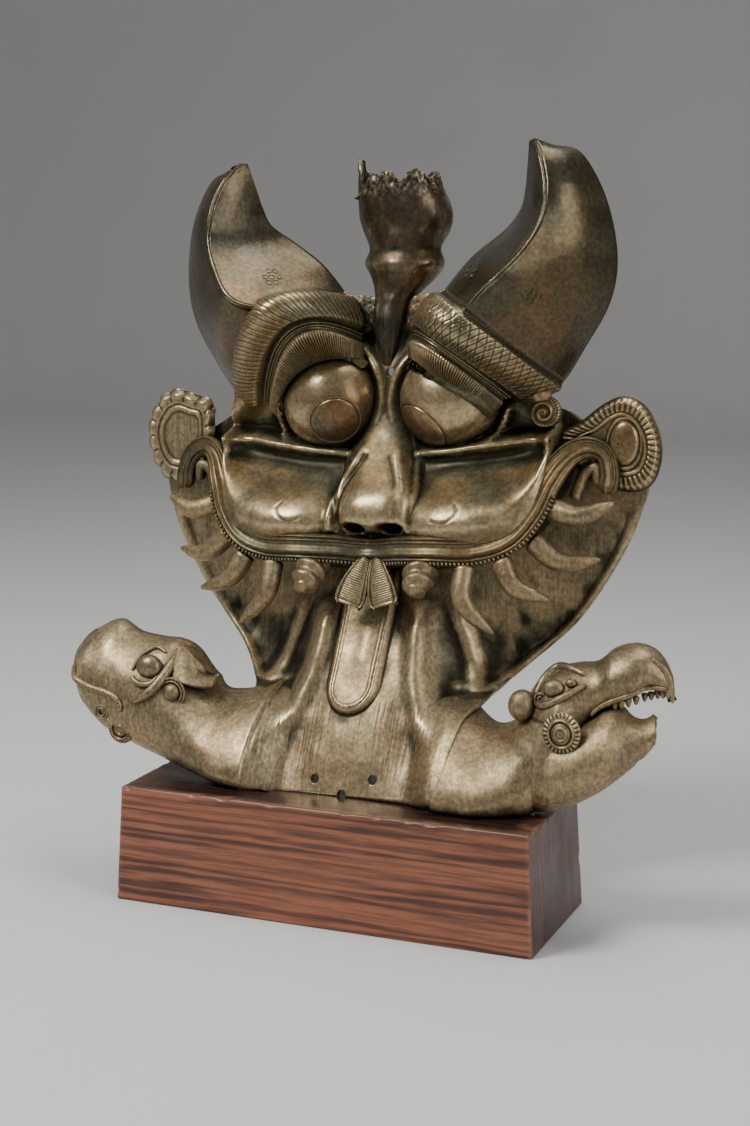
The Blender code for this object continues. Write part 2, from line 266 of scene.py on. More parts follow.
def normals_of(grid: Array, closed: bool = False) -> Array:
    """Unit normals of a grid: the cross product of its differences across and down.

    Args:
        grid: rows by columns of points.
        closed: whether the last column meets the first.

    Returns:
        One normal for each point.
    """
    down = np.gradient(grid, axis=0)
    if closed:
        across = np.roll(grid, -1, axis=1) - np.roll(grid, 1, axis=1)
    else:
        across = np.gradient(grid, axis=1)
    normal = np.cross(across, down)
    return normal / np.maximum(np.linalg.norm(normal, axis=-1, keepdims=True), 1e-12)


def relief_of(grid: Array, normal: Array, reach: int, closed: bool) -> Array:
    """How far each point stands proud of the mean of the four points reach steps away.

    Args:
        grid: rows by columns of points.
        normal: their normals.
        reach: steps to the neighbours.
        closed: whether the columns wrap round.

    Returns:
        The height along the normal, in metres.
    """
    reach = min(reach, grid.shape[1] // 2, grid.shape[0] // 2)
    padded = np.pad(grid, ((reach, reach), (0, 0), (0, 0)), mode="edge")
    padded = np.pad(padded, ((0, 0), (reach, reach), (0, 0)), mode="wrap" if closed else "edge")
    rows, columns = grid.shape[:2]
    centre_r, centre_c = slice(reach, reach + rows), slice(reach, reach + columns)
    mean = padded[:rows, centre_c] + padded[2 * reach :, centre_c]
    mean = (mean + padded[centre_r, :columns] + padded[centre_r, 2 * reach :]) / 4
    return np.sum((grid - mean) * normal, -1)


def directions(path: Array) -> tuple[Array, Array]:
    """Unit directions along a path and out of it: the viewer's direction less its part along the path.

    Args:
        path: rows of three.

    Returns:
        The direction along and the direction out at each point.
    """
    tangent = np.gradient(path, axis=0)
    tangent /= np.linalg.norm(tangent, axis=1, keepdims=True)
    out = np.array([0, -1.0, 0]) + tangent * tangent[:, 1:2]
    out /= np.linalg.norm(out, axis=1, keepdims=True)
    return tangent, out


def carried(path: Array, profile: Array) -> Array:
    """A profile carried along a path: path + across times its x + out times its y.

    Args:
        path: places in millimetres, rows of three.
        profile: (across, out) pairs, one set for all rows or one set for each.

    Returns:
        Rows by columns of points.
    """
    tangent, out = directions(path)
    across = np.cross(tangent, out)
    return path[:, None] + across[:, None] * profile[..., :1] + out[:, None] * profile[..., 1:]


def round_profile(radius: Array, columns: int, flat: float = 1.0) -> Array:
    """A ring for each radius: radius times (cos, flat times sin) of the turn.

    Args:
        radius: one radius for each row.
        columns: points round the ring.
        flat: height over width.

    Returns:
        Rows by columns of (across, out) pairs.
    """
    turn = np.linspace(0, TURN, columns, endpoint=False)
    return np.asarray(radius)[:, None, None] * np.stack([np.cos(turn), flat * np.sin(turn)], -1)


class Pattern:
    """Shader nodes of one material, all on Object coordinates."""

    def __init__(self, name: str) -> None:
        """Start a material with a Principled shader.

        Args:
            name: the material's name.
        """
        self.material = bpy.data.materials.new(name)
        self.material.use_nodes = True
        self.tree = self.material.node_tree
        self.shader = self.tree.nodes["Principled BSDF"]
        self.place = self.tree.nodes.new("ShaderNodeTexCoord").outputs["Object"]

    def node(self, kind: str, inputs: dict, **settings: object) -> bpy.types.Node:
        """Add a node.

        Args:
            kind: its type.
            inputs: socket number or name to a value or another node's socket.
            settings: properties of the node.

        Returns:
            The node.
        """
        made = self.tree.nodes.new(kind)
        for name, value in settings.items():
            setattr(made, name, value)
        for key, value in inputs.items():
            if isinstance(value, bpy.types.NodeSocket):
                self.tree.links.new(value, made.inputs[key])
            else:
                made.inputs[key].default_value = value
        return made

    def stretched(self, scale: Colour) -> bpy.types.NodeSocket:
        """Object coordinates scaled along their axes."""
        return self.node("ShaderNodeMapping", {"Vector": self.place, "Scale": scale}).outputs[0]

    def noise(self, scale: float, detail: float = 4.0, at: bpy.types.NodeSocket | None = None,
              distortion: float = 0.0) -> bpy.types.NodeSocket:
        """Cloudy noise.

        Args:
            scale: cells per metre.
            detail: number of finer layers.
            at: coordinates, or the plain ones.
            distortion: how far it is drawn about.

        Returns:
            Its value, about 0.5 on average.
        """
        inputs = {"Vector": at or self.place, "Scale": scale, "Detail": detail, "Distortion": distortion}
        return self.node("ShaderNodeTexNoise", inputs).outputs["Fac"]

    def attribute(self, name: str) -> bpy.types.NodeSocket:
        """A number that the mesh carries at each point."""
        return self.node("ShaderNodeAttribute", {}, attribute_name=name).outputs["Fac"]

    def span(self, value: bpy.types.NodeSocket, low: float, high: float, out_low: float = 0.0,
             out_high: float = 1.0) -> bpy.types.NodeSocket:
        """A value stretched smoothly from low..high to out_low..out_high and held there."""
        inputs = {0: value, 1: low, 2: high, 3: out_low, 4: out_high}
        return self.node("ShaderNodeMapRange", inputs, interpolation_type="SMOOTHSTEP").outputs[0]

    def maths(self, kind: str, a: object, b: object) -> bpy.types.NodeSocket:
        """Two numbers joined by a sum, product or the like."""
        return self.node("ShaderNodeMath", {0: a, 1: b}, operation=kind).outputs[0]

    def blend(self, share: bpy.types.NodeSocket, a: object, b: object) -> bpy.types.NodeSocket:
        """Two colours mixed by a share.

        Args:
            share: how much of b.
            a: a colour or a colour socket.
            b: the other.

        Returns:
            The mixed colour.
        """
        made = self.tree.nodes.new("ShaderNodeMix")
        made.data_type = "RGBA"
        self.tree.links.new(share, made.inputs[0])
        for key, value in ((6, a), (7, b)):
            if isinstance(value, bpy.types.NodeSocket):
                self.tree.links.new(value, made.inputs[key])
            else:
                made.inputs[key].default_value = (*value, 1.0)
        return made.outputs[2]

    def relief(self, height: bpy.types.NodeSocket, strength: float, distance: float,
               under: bpy.types.NodeSocket | None = None) -> bpy.types.NodeSocket:
        """A fine relief for the shader's normal.

        Args:
            height: what rises and falls.
            strength: how strongly it shows, below 0 where it sinks.
            distance: its height in metres.
            under: a relief that it is laid over.

        Returns:
            The normal.
        """
        inputs = {"Height": height, "Strength": strength, "Distance": distance}
        if under:
            inputs["Normal"] = under
        return self.node("ShaderNodeBump", inputs).outputs[0]

    def finish(self, colour: bpy.types.NodeSocket, roughness: object,
               normal: bpy.types.NodeSocket, metallic: float) -> bpy.types.Material:
        """Wire the shader.

        Args:
            colour: the base colour.
            roughness: a socket or a number.
            normal: the relief.
            metallic: share of metal.

        Returns:
            The material.
        """
        self.tree.links.new(colour, self.shader.inputs["Base Color"])
        if isinstance(roughness, bpy.types.NodeSocket):
            self.tree.links.new(roughness, self.shader.inputs["Roughness"])
        else:
            self.shader.inputs["Roughness"].default_value = roughness
        self.tree.links.new(normal, self.shader.inputs["Normal"])
        self.shader.inputs["Metallic"].default_value = metallic
        return self.material


@dataclass(frozen=True)
class Bronze:
    """Old bronze: an olive skin with grey-green and red-brown clouds, dark green in its recesses, and painted
    shade darkening its grooves, hollows and hidden corners.
    """

    name: str
    olive: Colour = (0.200, 0.142, 0.066)
    grey: Colour = (0.125, 0.108, 0.066)
    warm: Colour = (0.235, 0.115, 0.055)
    # Near-black colour of the painted shade in grooves, hollows and hidden corners, together with the dark
    # deposit there
    recess_shade: Colour = (0.030, 0.026, 0.014)
    green: Colour = (0.070, 0.078, 0.050)
    worn: Colour = (0.46, 0.36, 0.20)
    warm_share: float = 0.35
    green_share: float = 0.40
    roughness: float = 0.40
    metallic: float = 0.82
    brushed: float = 0.0

    def material(self) -> bpy.types.Material:
        """Build the finish.

        Returns:
            A material whose recesses and crests follow the mesh's relief, with painted shade in its grooves,
            hollows and hidden corners.
        """
        p = Pattern(self.name)
        fine, broad = p.attribute("fine"), p.attribute("broad")
        tone = p.blend(p.span(p.noise(17, 5), 0.40, 0.60), self.olive, self.grey)
        warm = p.maths("MULTIPLY", p.span(p.noise(26, 4, distortion=0.6), 0.50, 0.68), self.warm_share)
        tone = p.blend(warm, tone, self.warm)
        green = p.maths("MULTIPLY", p.span(p.noise(34, 6, distortion=0.4), 0.50, 0.70), self.green_share)
        tone = p.blend(green, tone, self.green)
        if self.brushed:
            streaks = p.noise(1.0, 3, p.stretched((900.0, 900.0, 60.0)))
            pale = p.maths("MULTIPLY", p.span(streaks, 0.42, 0.66), self.brushed)
            tone = p.blend(pale, tone, self.worn)
        speck = p.span(p.noise(420, 3), 0.36, 0.64, 0.78, 1.16)
        tone = p.blend(p.span(broad, -0.15, -0.9, 0.0, 0.7), tone, self.green)
        # Grooves and broad hollows darken towards the near-black recess colour: painted shade, together with
        # the dark deposit that gathers in them.
        hollow = p.maths("ADD", p.span(broad, -0.35, -1.0, 0.0, 0.4), p.span(fine, -0.10, -0.9, 0.0, 0.75))
        tone = p.blend(hollow, tone, self.recess_shade)
        crest = p.maths("ADD", p.span(fine, 0.15, 1.0, 0.0, 0.55), p.span(broad, 0.40, 1.0, 0.0, 0.35))
        tone = p.blend(crest, tone, self.worn)
        # Painted shade: an ambient occlusion node darkens hidden corners and gaps towards the recess colour;
        # the same value also roughens them.
        occlusion_shade = p.node("ShaderNodeAmbientOcclusion", {"Distance": 0.012}, samples=6).outputs["AO"]
        tone = p.blend(p.span(occlusion_shade, 0.75, 0.25), tone, self.recess_shade)
        rough = p.span(p.noise(60, 5), 0.3, 0.7, self.roughness - 0.07, self.roughness + 0.10)
        rough = p.maths("SUBTRACT", rough, p.maths("MULTIPLY", crest, 0.12))
        rough = p.maths("ADD", rough, p.maths("MULTIPLY", p.span(occlusion_shade, 0.8, 0.3), 0.25))
        dents = p.relief(p.noise(95, 3), 0.20, 0.0012)
        grain = p.relief(p.noise(1500, 3), 0.16, 0.00025, dents)
        speckled = p.node("ShaderNodeHueSaturation", {"Color": tone, "Value": speck}).outputs[0]
        return p.finish(speckled, rough, grain, self.metallic)


class Casting:
    """Gathers sheets, tubes and repeated shapes into one mesh, with its relief stored at each point."""

    def __init__(self) -> None:
        """Start empty."""
        self.points: list[Array] = []
        self.faces: list[list[int]] = []
        self.fine: list[Array] = []
        self.broad: list[Array] = []
        self.count = 0

    def add(self, points: Array, faces: list[list[int]], fine: Array, broad: Array) -> None:
        """Add points and their faces.

        Args:
            points: the places, in metres.
            faces: lists of their numbers, counted from 0.
            fine: the crests' and grooves' height at each point.
            broad: the broad hollows' height at each point.
        """
        shift = self.count
        self.points.append(points.reshape(-1, 3))
        self.faces.extend([[corner + shift for corner in face] for face in faces])
        self.fine.append(fine.ravel())
        self.broad.append(broad.ravel())
        self.count += len(self.points[-1])

    @staticmethod
    def numbered(grid: Array) -> Array:
        """Point numbers of a grid, row after row."""
        return np.arange(grid.shape[0] * grid.shape[1]).reshape(grid.shape[:2])

    @staticmethod
    def quads(index: Array, closed: bool = False) -> list[list[int]]:
        """Four-sided faces between neighbouring rows and columns.

        Args:
            index: rows by columns of point numbers.
            closed: whether the last column joins the first.

        Returns:
            Four numbers for each face.
        """
        if closed:
            index = np.concatenate([index, index[:, :1]], 1)
        corners = [index[:-1, :-1], index[:-1, 1:], index[1:, 1:], index[1:, :-1]]
        return np.stack(corners, -1).reshape(-1, 4).tolist()

    def sheet(self, grid: Array, wall: float, closed: bool = False) -> None:
        """Metal sheet: the grid in front, one point in BACK_STEP moved back by the wall, and a rim.

        Args:
            grid: rows by columns of points in metres, each count 1 more than a multiple of the step.
            wall: thickness in millimetres.
            closed: whether the last column repeats the first.
        """
        step = BACK_STEP
        rows, columns = ((n - 1) // step * step + 1 for n in grid.shape[:2])
        grid = grid[:rows, :columns]
        if normals_of(grid)[..., 1].sum() > 0:
            grid = grid[:, ::-1]
        if closed:
            grid = grid[:, :-1]
        normal = normals_of(grid, closed)
        back = (grid - normal * wall * UNIT)[::step, ::step]
        front_index = self.numbered(grid)
        back_index = self.numbered(back) + front_index.size
        if closed:
            front_index = np.concatenate([front_index, front_index[:, :1]], 1)
            back_index = np.concatenate([back_index, back_index[:, :1]], 1)
        faces = self.quads(front_index) + self.quads(back_index[:, ::-1])
        edges = [(front_index[0], back_index[0]), (front_index[-1, ::-1], back_index[-1, ::-1])]
        if not closed:
            edges += [(front_index[:, -1], back_index[:, -1]), (front_index[::-1, 0], back_index[::-1, 0])]
        for near, far in edges:
            for k in range(len(far) - 1):
                strip = near[k * step : k * step + step + 1]
                faces.append([*strip[::-1].tolist(), int(far[k]), int(far[k + 1])])
        fine = np.clip(relief_of(grid, normal, FINE_REACH, closed) / FINE_HEIGHT, -1, 1)
        broad = np.clip(relief_of(grid, normal, BROAD_REACH, closed) / BROAD_HEIGHT, -1, 1)
        flat = np.zeros(back.shape[0] * back.shape[1])
        points = np.concatenate([grid.reshape(-1, 3), back.reshape(-1, 3)])
        self.add(points, faces, np.append(fine.ravel(), flat), np.append(broad.ravel(), flat))

    def tube(self, grid: Array) -> None:
        """A closed tube: rows along it, columns round it, and a flat face at each end.

        Args:
            grid: rows by columns of points in metres.
        """
        normal = normals_of(grid, True)
        if np.sum((grid - grid.mean(axis=1, keepdims=True)) * normal) < 0:
            grid = grid[:, ::-1]
            normal = normals_of(grid, True)
        index = self.numbered(grid)
        faces = self.quads(index, True) + [index[0, ::-1].tolist(), index[-1].tolist()]
        fine = np.clip(relief_of(grid, normal, 1, True) / ROD_HEIGHT + ROD_SHIFT, -1, 1)
        broad = np.full(grid.shape[:2], ROD_BROAD)
        self.add(grid, faces, fine, broad)

    def rod(self, points: Points, radii: Sequence[float], side: Side = Side.RIGHT, tilt: float = TILT,
            rows: int = 40, columns: int = 16, flat: float = 1.0) -> None:
        """A round rod carried along a smooth curve, its radius running through radii.

        Args:
            points: knots in millimetres.
            radii: radii in millimetres, evenly spread.
            side: which half.
            tilt: how it leans.
            rows: points along it.
            columns: points round it.
            flat: height over width of its section.
        """
        path = even(points, rows)
        spot = np.linspace(0, 1, rows)
        girth = np.interp(spot, np.linspace(0, 1, len(radii)), radii)
        ends = np.sqrt(np.clip(1 - (np.clip(np.abs(spot - 0.5) * 2 - 0.9, 0, 1) / 0.1001) ** 2, 0.02, 1))
        self.tube(place(carried(path, round_profile(girth * ends, columns, flat)), side, tilt))

    def ball(self, centre: Sequence[float], radii: Sequence[float], side: Side = Side.RIGHT,
             tilt: float = TILT, rows: int = 17, columns: int = 28) -> None:
        """An ellipsoid: each radius times the sine and cosine of the angle from its front pole.

        Args:
            centre: its middle, in millimetres.
            radii: its half-axes.
            side: which half.
            tilt: how it leans.
            rows: rings.
            columns: points round a ring.
        """
        angle = np.linspace(0.02, math.pi - 0.02, rows)[:, None]
        turn = np.linspace(0, TURN, columns, endpoint=False)
        unit = [np.sin(angle) * np.cos(turn), -np.cos(angle) + 0 * turn, np.sin(angle) * np.sin(turn)]
        self.tube(place(np.stack(unit, -1) * np.array(radii) + np.array(centre), side, tilt))

    def repeated(self, shape: Array, faces: list[list[int]], places: Array, turns: Array) -> None:
        """One small shape set down many times: place + turn applied to its points.

        Args:
            shape: the shape's points, in metres.
            faces: its faces.
            places: one place for each copy.
            turns: three unit vectors for each copy.
        """
        spots = places[:, None] + np.einsum("pk,nkd->npd", shape, turns)
        shift = np.arange(len(places)) * len(shape)
        every = [[corner + int(s) for corner in face] for s in shift for face in faces]
        proud = np.full(spots.shape[:2], SMALL_FINE)
        self.add(spots, every, proud, proud * 0)

    def make(self, name: str, material: bpy.types.Material) -> bpy.types.Object:
        """Turn what was gathered into a piece of the mask.

        Args:
            name: the piece's name.
            material: its finish.

        Returns:
            The new object.
        """
        mesh = bpy.data.meshes.new(name)
        mesh.from_pydata(np.concatenate(self.points).tolist(), [], self.faces)
        for label, values in (("fine", self.fine), ("broad", self.broad)):
            mesh.attributes.new(label, "FLOAT", "POINT").data.foreach_set("value", np.concatenate(values))
        mesh.shade_smooth()
        mesh.materials.append(material)
        made = bpy.data.objects.new(name, mesh)
        bpy.context.scene.collection.objects.link(made)
        dress(made, "mask")
        return made


def dress(piece: bpy.types.Object, node: str) -> None:
    """Hang a piece on the root, hide the CAD node that it stands for and log its face count.

    Args:
        piece: the new piece.
        node: the CAD node it stands for.
    """
    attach(piece, "root")
    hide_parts(node)
    LOG.info("%s: %d faces", piece.name, len(piece.data.polygons))


class Solver(Enum):
    """Ways to cut: slow and exact for a plain sheet, quick for one that folds through itself."""

    EXACT = "EXACT"
    QUICK = "FAST"


# Depths in millimetres between which the nail holes' cutter runs
CUTTER_ENDS = (-60.0, 140.0)


def drill(piece: bpy.types.Object, holes: Points, radius: float, solver: Solver) -> None:
    """Cut round holes straight through a piece, front to back, and drop the cutter.

    Args:
        piece: what is cut.
        holes: (x, z) of each hole in millimetres.
        radius: their radius in millimetres.
        solver: how the cut is worked out.
    """
    turn = np.linspace(0, TURN, 28, endpoint=False)
    depth = np.array(CUTTER_ENDS)[:, None]
    cutter = Casting()
    for x, z in holes:
        across, up = x + radius * np.cos(turn), z + radius * np.sin(turn)
        cutter.tube(place(np.stack([across + 0 * depth, depth + 0 * turn, up + 0 * depth], -1)))
    mesh = bpy.data.meshes.new("cutter")
    mesh.from_pydata(np.concatenate(cutter.points).tolist(), [], cutter.faces)
    tool = bpy.data.objects.new("cutter", mesh)
    bpy.context.scene.collection.objects.link(tool)
    cut = piece.modifiers.new("holes", "BOOLEAN")
    cut.object, cut.operation, cut.solver = tool, "DIFFERENCE", solver.value
    shaped = piece.evaluated_get(bpy.context.evaluated_depsgraph_get())
    piece.data = bpy.data.meshes.new_from_object(shaped)
    piece.modifiers.remove(cut)
    bpy.data.objects.remove(tool)


# The face and neck, as in the part's source: half the outline's width, the depth of the middle and of
# the rim by height, and the folds of the neck
OUTLINE = [(66, 60), (90, 64), (108, 66), (119, 70), (139, 93), (156, 112), (174, 126), (194, 138),
           (215, 148), (238, 154), (252, 152), (262, 142), (272, 122), (284, 104), (300, 98), (318, 88),
           (334, 58), (348, 33)]
NECK_FRONT = [(60, -20), (72, -15), (90, -9), (114, 3), (140, 20), (163, 34), (195, 46), (260, 52),
              (298, 55), (310, 60), (322, 63.5), (338, 67), (352, 72)]
RIM = [(60, -22), (72, -16), (95, 4), (119, 24), (139, 52), (156, 64), (180, 66), (240, 69), (360, 67)]
FOLD = [(29, 170), (31, 150), (34, 133), (41, 112), (54, 96), (72, 88)]
JAW_RIB = [(47, 178), (52, 160), (60, 140), (66, 124)]
EYE = (37.8, 64.0, 290.0)
EYE_RADIUS = 30.8

# The cheek, nose and ornaments of the face: depth or height by distance across, depth, half-width and
# fall of the nose by height, and lines given as (across, up)
PANEL_FRONT = [(0, 30), (20, 27), (42, 24), (66, 27), (84, 31), (96, 36), (103, 42), (112, 51), (130, 64)]
PANEL_FOOT = [(0, 206), (40, 206), (66, 207), (84, 213), (96, 227), (103, 244), (112, 250), (130, 252)]
NOSE_CREST = [(200, 36), (208, 33), (214, 29), (217, 21), (220.5, 16), (225, 14.5), (231, 15.5), (237, 19),
              (245, 27), (258, 39), (270, 47.5), (285, 53), (298, 56), (308, 60), (320, 63.5), (350, 71)]
NOSE_HALF = [(200, 21), (216, 22.5), (232, 22.5), (240, 22), (248, 21), (258, 20), (268, 16), (285, 10),
             (300, 9), (350, 8)]
NOSE_FALL = [(200, 9), (235, 9), (258, 8), (285, 5), (350, 4)]
TEMPLE_RIDGE = [(86, 300), (98, 286), (116, 273)]
NOSE_FLANK = [(10, 268), (13, 256), (20.5, 244), (24, 233), (24, 217)]
NOSE_GROOVE = [(8, 258), (15, 244), (18.5, 233), (18.5, 219)]
CHEEK_HOOK = [(41, 224), (45, 222.5), (51, 223), (55, 226), (56.5, 230), (54, 232.5)]


@dataclass
class FaceAndNeck:
    """The neck with its flutes and tongue, and the face with its cheeks, nose and eye sockets."""

    wall: float = 3.8
    cell: float = 0.84
    width: float = 300.0
    arm_middle: float = 95.0
    arm_half: float = 29.0
    arm_round: float = 24.0
    brow_height: float = 322.0
    crown_height: float = 347.0
    tongue_half: float = 17.0
    tongue_foot: float = 129.0
    tongue_middle: float = -4.0
    face_half: float = 107.0
    face_middle: float = 262.0
    face_down: float = 66.0
    face_up: float = 92.0
    socket_radius: float = 29.6
    nose_aside: float = 3.5
    nail_radius: float = 2.7
    foot_nails: tuple[tuple[float, float], ...] = ((-17.8, 77.0), (17.8, 78.5), (0.0, 69.5))
    brow_nails: tuple[tuple[float, float], ...] = ((1.5, 306.0),)

    def seam(self, share: Array) -> Array:
        """Height of the joint behind the lip band, by share of half the outline."""
        knots = [(0, 204), (0.13, 206), (0.28, 207), (0.43, 209), (0.56, 214), (0.64, 227), (0.70, 243),
                 (0.77, 256), (0.88, 262), (1, 262)]
        return curve_value(knots, np.abs(share))

    def arm_depth(self, z: Array) -> Array:
        """Front of the half-round arm where it leaves the neck: the rim less a circle's height."""
        across = np.clip((z - self.arm_middle) / self.arm_half, -0.98, 0.98)
        return curve_value(RIM, np.clip(z, 66, 122)) + 3 - self.arm_round * np.sqrt(1 - across**2)

    def neck_depth(self, x: Array, z: Array) -> Array:
        """Front of the neck and jaw flange.

        The middle line's depth eases out to the rim's; bells of the distance to the fold lines
        raise the flutes; the tongue's rounded outline raises it 5 mm, with two grooves inside its edge.

        Args:
            x: places across, signed.
            z: places up.

        Returns:
            The depth.
        """
        ax = np.abs(x)
        middle, rim, half = curve_value(NECK_FRONT, z), curve_value(RIM, z), curve_value(OUTLINE, z)
        depth = middle + (rim - middle) * smooth_step((ax / half - 0.12) / 0.8)
        fold = distance_to(FOLD, ax, z)
        depth -= 9 * bump(fold, 8.5) * smooth_step((178 - z) / 20)
        rib = distance_to(JAW_RIB, ax, z)
        depth -= 2.6 * bump(rib, 4.5) * smooth_step((180 - z) / 14)
        edge = (half - ax) - 3.0
        depth -= 2.2 * bump(edge, 3.0) * smooth_step((z - 112) / 20) * smooth_step((236 - z) / 30)
        tongue = self.tongue_half - np.hypot(x - self.tongue_middle, np.maximum(0, self.tongue_foot - z))
        depth -= 5 * np.sqrt(smooth_step(tongue / 5)) * smooth_step((192 - z) / 10)
        depth += 0.7 * bump(tongue - 4.4, 0.55) + 0.35 * bump(tongue - 6.2, 0.5)
        depth -= 1.5 * bump(ax, 6) * smooth_step((z - self.tongue_foot) / 15) * smooth_step((190 - z) / 20)
        arms = smooth_step((ax - 34) / 26) * smooth_step((130 - z) / 14)
        depth = depth + (np.minimum(self.arm_depth(z), depth) - depth) * arms
        brush = uneven(x / 1.1, z / 16, 3) + 0.6 * uneven(x / 0.7 + 9, z / 9, 4)
        depth += 0.10 * brush * smooth_step((125 - z) / 10)
        depth += 0.35 * uneven(x / 7, z / 9, 5) + 0.03 * uneven(x / 2.4, z / 3.1, 6)
        return depth

    def panel_depth(self, ax: Array, z: Array) -> Array:
        """Front of the cheek: one broad panel between the lip band and the ledge under the eye.

        It starts at the band's depth and eases back 25 mm towards the ledge, and a bell swells its middle.

        Args:
            ax: places across, unsigned.
            z: places up.

        Returns:
            The depth.
        """
        foot = curve_value(PANEL_FOOT, ax)
        depth = curve_value(PANEL_FRONT, ax) + 25 * smooth_step((z - foot - 12) / 40)
        middle = np.hypot((ax - 60) / 36, (z - 227) / 21)
        return depth - 10.5 * bump(middle, 1.0)

    def nose_depth(self, ax: Array, z: Array) -> Array:
        """Front of the nose: the crest's depth plus the fall times the cube of the share across.

        Args:
            ax: places across, unsigned.
            z: places up.

        Returns:
            The depth, far behind outside its width.
        """
        crest, half, fall = (curve_value(knots, z) for knots in (NOSE_CREST, NOSE_HALF, NOSE_FALL))
        return crest + fall * np.minimum(ax / half, 1) ** 3 + 20 * smooth_step((ax - half) / 10)

    def front_depth(self, x: Array, z: Array) -> Array:
        """Front of the face itself.

        The cheek's panel steps back over a ledge to the bay round the eyes; the nose, the eyes'
        ellipsoids and the temple's ridge are joined to it by fillets; the rim under each eye, the
        flank's ridge and groove and the engraved hooks are bells of a distance; the nostrils are
        set back.

        Args:
            x: places across, signed.
            z: places up.

        Returns:
            The depth.
        """
        ax = np.abs(x)
        ledge = z - 256 - 0.12 * ax
        bay = 62 + 0.10 * np.clip(ax - 50, 0, 60) - 4 * bump(ax, 22)
        bay += 7 * smooth_step((z - 305) / 25) * smooth_step((30 - ax) / 10)
        panel = self.panel_depth(ax, z)
        front = panel + (bay - panel) * smooth_step(ledge / 8)
        front -= (4.2 + 0.25 * uneven(x / 3, z / 2, 61)) * bump(ledge, 3.4) * smooth_step((ax - 12) / 14)
        front += 1.8 * bump(ledge + 8.5, 4) * smooth_step((ax - 24) / 20) * smooth_step((108 - ax) / 10)
        temple = distance_to(TEMPLE_RIDGE, ax, z)
        front -= 14 * bump(temple, 10)
        around = np.hypot(ax - EYE[0], z - EYE[2])
        under = smooth_step((ax - 30) / 10) * smooth_step((290 - z) / 8)
        hatch = 0.30 * np.sin(np.arctan2(z - EYE[2], ax - EYE[0]) * 62)
        front -= (6.0 + hatch) * bump(around - 35.5, 3.4) * under * smooth_step((ledge - 1) / 5)
        inner = smooth_step((36 - ax) / 12)
        front -= 4.5 * bump(around - 35.0, 3.2) * inner * smooth_step((z - 262) / 8)
        across = x - self.nose_aside * smooth_step((262 - z) / 25)
        front = nearer(front, self.nose_depth(np.abs(across), z), 5)
        front = nearer(front, dome(x, z, EYE, (self.socket_radius,) * 3), 1)
        front = nearer(front, dome(-x, z, EYE, (self.socket_radius,) * 3), 1)
        flank, groove = distance_to(NOSE_FLANK, ax, z), distance_to(NOSE_GROOVE, ax, z)
        low = smooth_step((266 - z) / 10) * smooth_step((z - 212) / 5)
        left = np.where(x < 0, 1.0, 0.35)
        front += (1.6 * bump(groove, 2.2) - 3.0 * bump(flank, 2.3)) * low * left
        nostril = np.hypot((np.abs(across) - 11) / 6.5, (z - 218.5) / 2.8)
        front += 12 * smooth_step((1.35 - nostril) / 0.7)
        hook = distance_to(CHEEK_HOOK, ax, z)
        front += 0.6 * bump(hook, 0.6)
        rough = smooth_step((34 - ax) / 10) * bump(z - 210, 6)
        front += rough * (1.1 * uneven(x / 2.6, z / 2.2, 7) + 0.6 * uneven(x / 1.3, z / 1.2, 8))
        return front + 0.30 * uneven(x / 9, z / 8, 9) + 0.03 * uneven(x / 2.2, z / 2.5, 10)

    def depth(self, x: Array, z: Array) -> Array:
        """Front of the whole: the face inside its rounded outline, |x|^3 + |z|^3 = 1, and the neck outside.

        Args:
            x: places across, signed.
            z: places up.

        Returns:
            The depth.
        """
        reach = np.where(z < self.face_middle, self.face_down, self.face_up)
        across, up = np.clip(np.abs(x) / self.face_half, 0, 2), np.abs((z - self.face_middle) / reach)
        inside = 1 - (across**3 + up**3) ** (1 / 3)
        neck = self.neck_depth(x, z)
        front = np.minimum(self.front_depth(x, z), neck + 6)
        return neck + (front - neck) * smooth_step(inside / 0.05)

    def sheet(self, low: Array, high: Array, rows: int, columns: int) -> Array:
        """Grid between two heights: x is share times half the outline, y the depth.

        Args:
            low: lower height for each column.
            high: upper height for each column.
            rows: points up.
            columns: points across.

        Returns:
            Rows by columns of places in the frame.
        """
        share = np.linspace(-1, 1, columns)[None, :]
        z = low + (high - low) * np.linspace(0, 1, rows)[:, None]
        x = share * curve_value(OUTLINE, z)
        return place(np.stack([x, self.depth(x, z), z], -1))

    def build(self, neck: bpy.types.Material, face: bpy.types.Material) -> None:
        """Make both sheets, cut flat at the foot.

        Args:
            neck: finish below the lip band.
            face: finish above it.
        """
        columns = BACK_STEP * round(self.width / self.cell / BACK_STEP) + 1
        seam = self.seam(np.linspace(-1, 1, columns))[None, :]
        share = np.abs(np.linspace(-1, 1, columns))[None, :]
        top = self.brow_height + (self.crown_height - self.brow_height) * smooth_step((0.34 - share) / 0.12)
        foot = FOOT_Z + 0 * seam
        parts = (("neck", foot, seam, neck, self.foot_nails, Solver.EXACT),
                 ("face", seam, top, face, self.brow_nails, Solver.QUICK))
        for name, low, high, finish, nails, solver in parts:
            rows = BACK_STEP * round(float(np.mean(high - low)) / self.cell / BACK_STEP) + 1
            grid = self.sheet(low, high, rows, columns)
            if name == "neck":
                grid[0, :, 2] = FOOT_Z * UNIT
            cast = Casting()
            cast.sheet(grid, self.wall)
            drill(cast.make(name, finish), nails, self.nail_radius, solver)


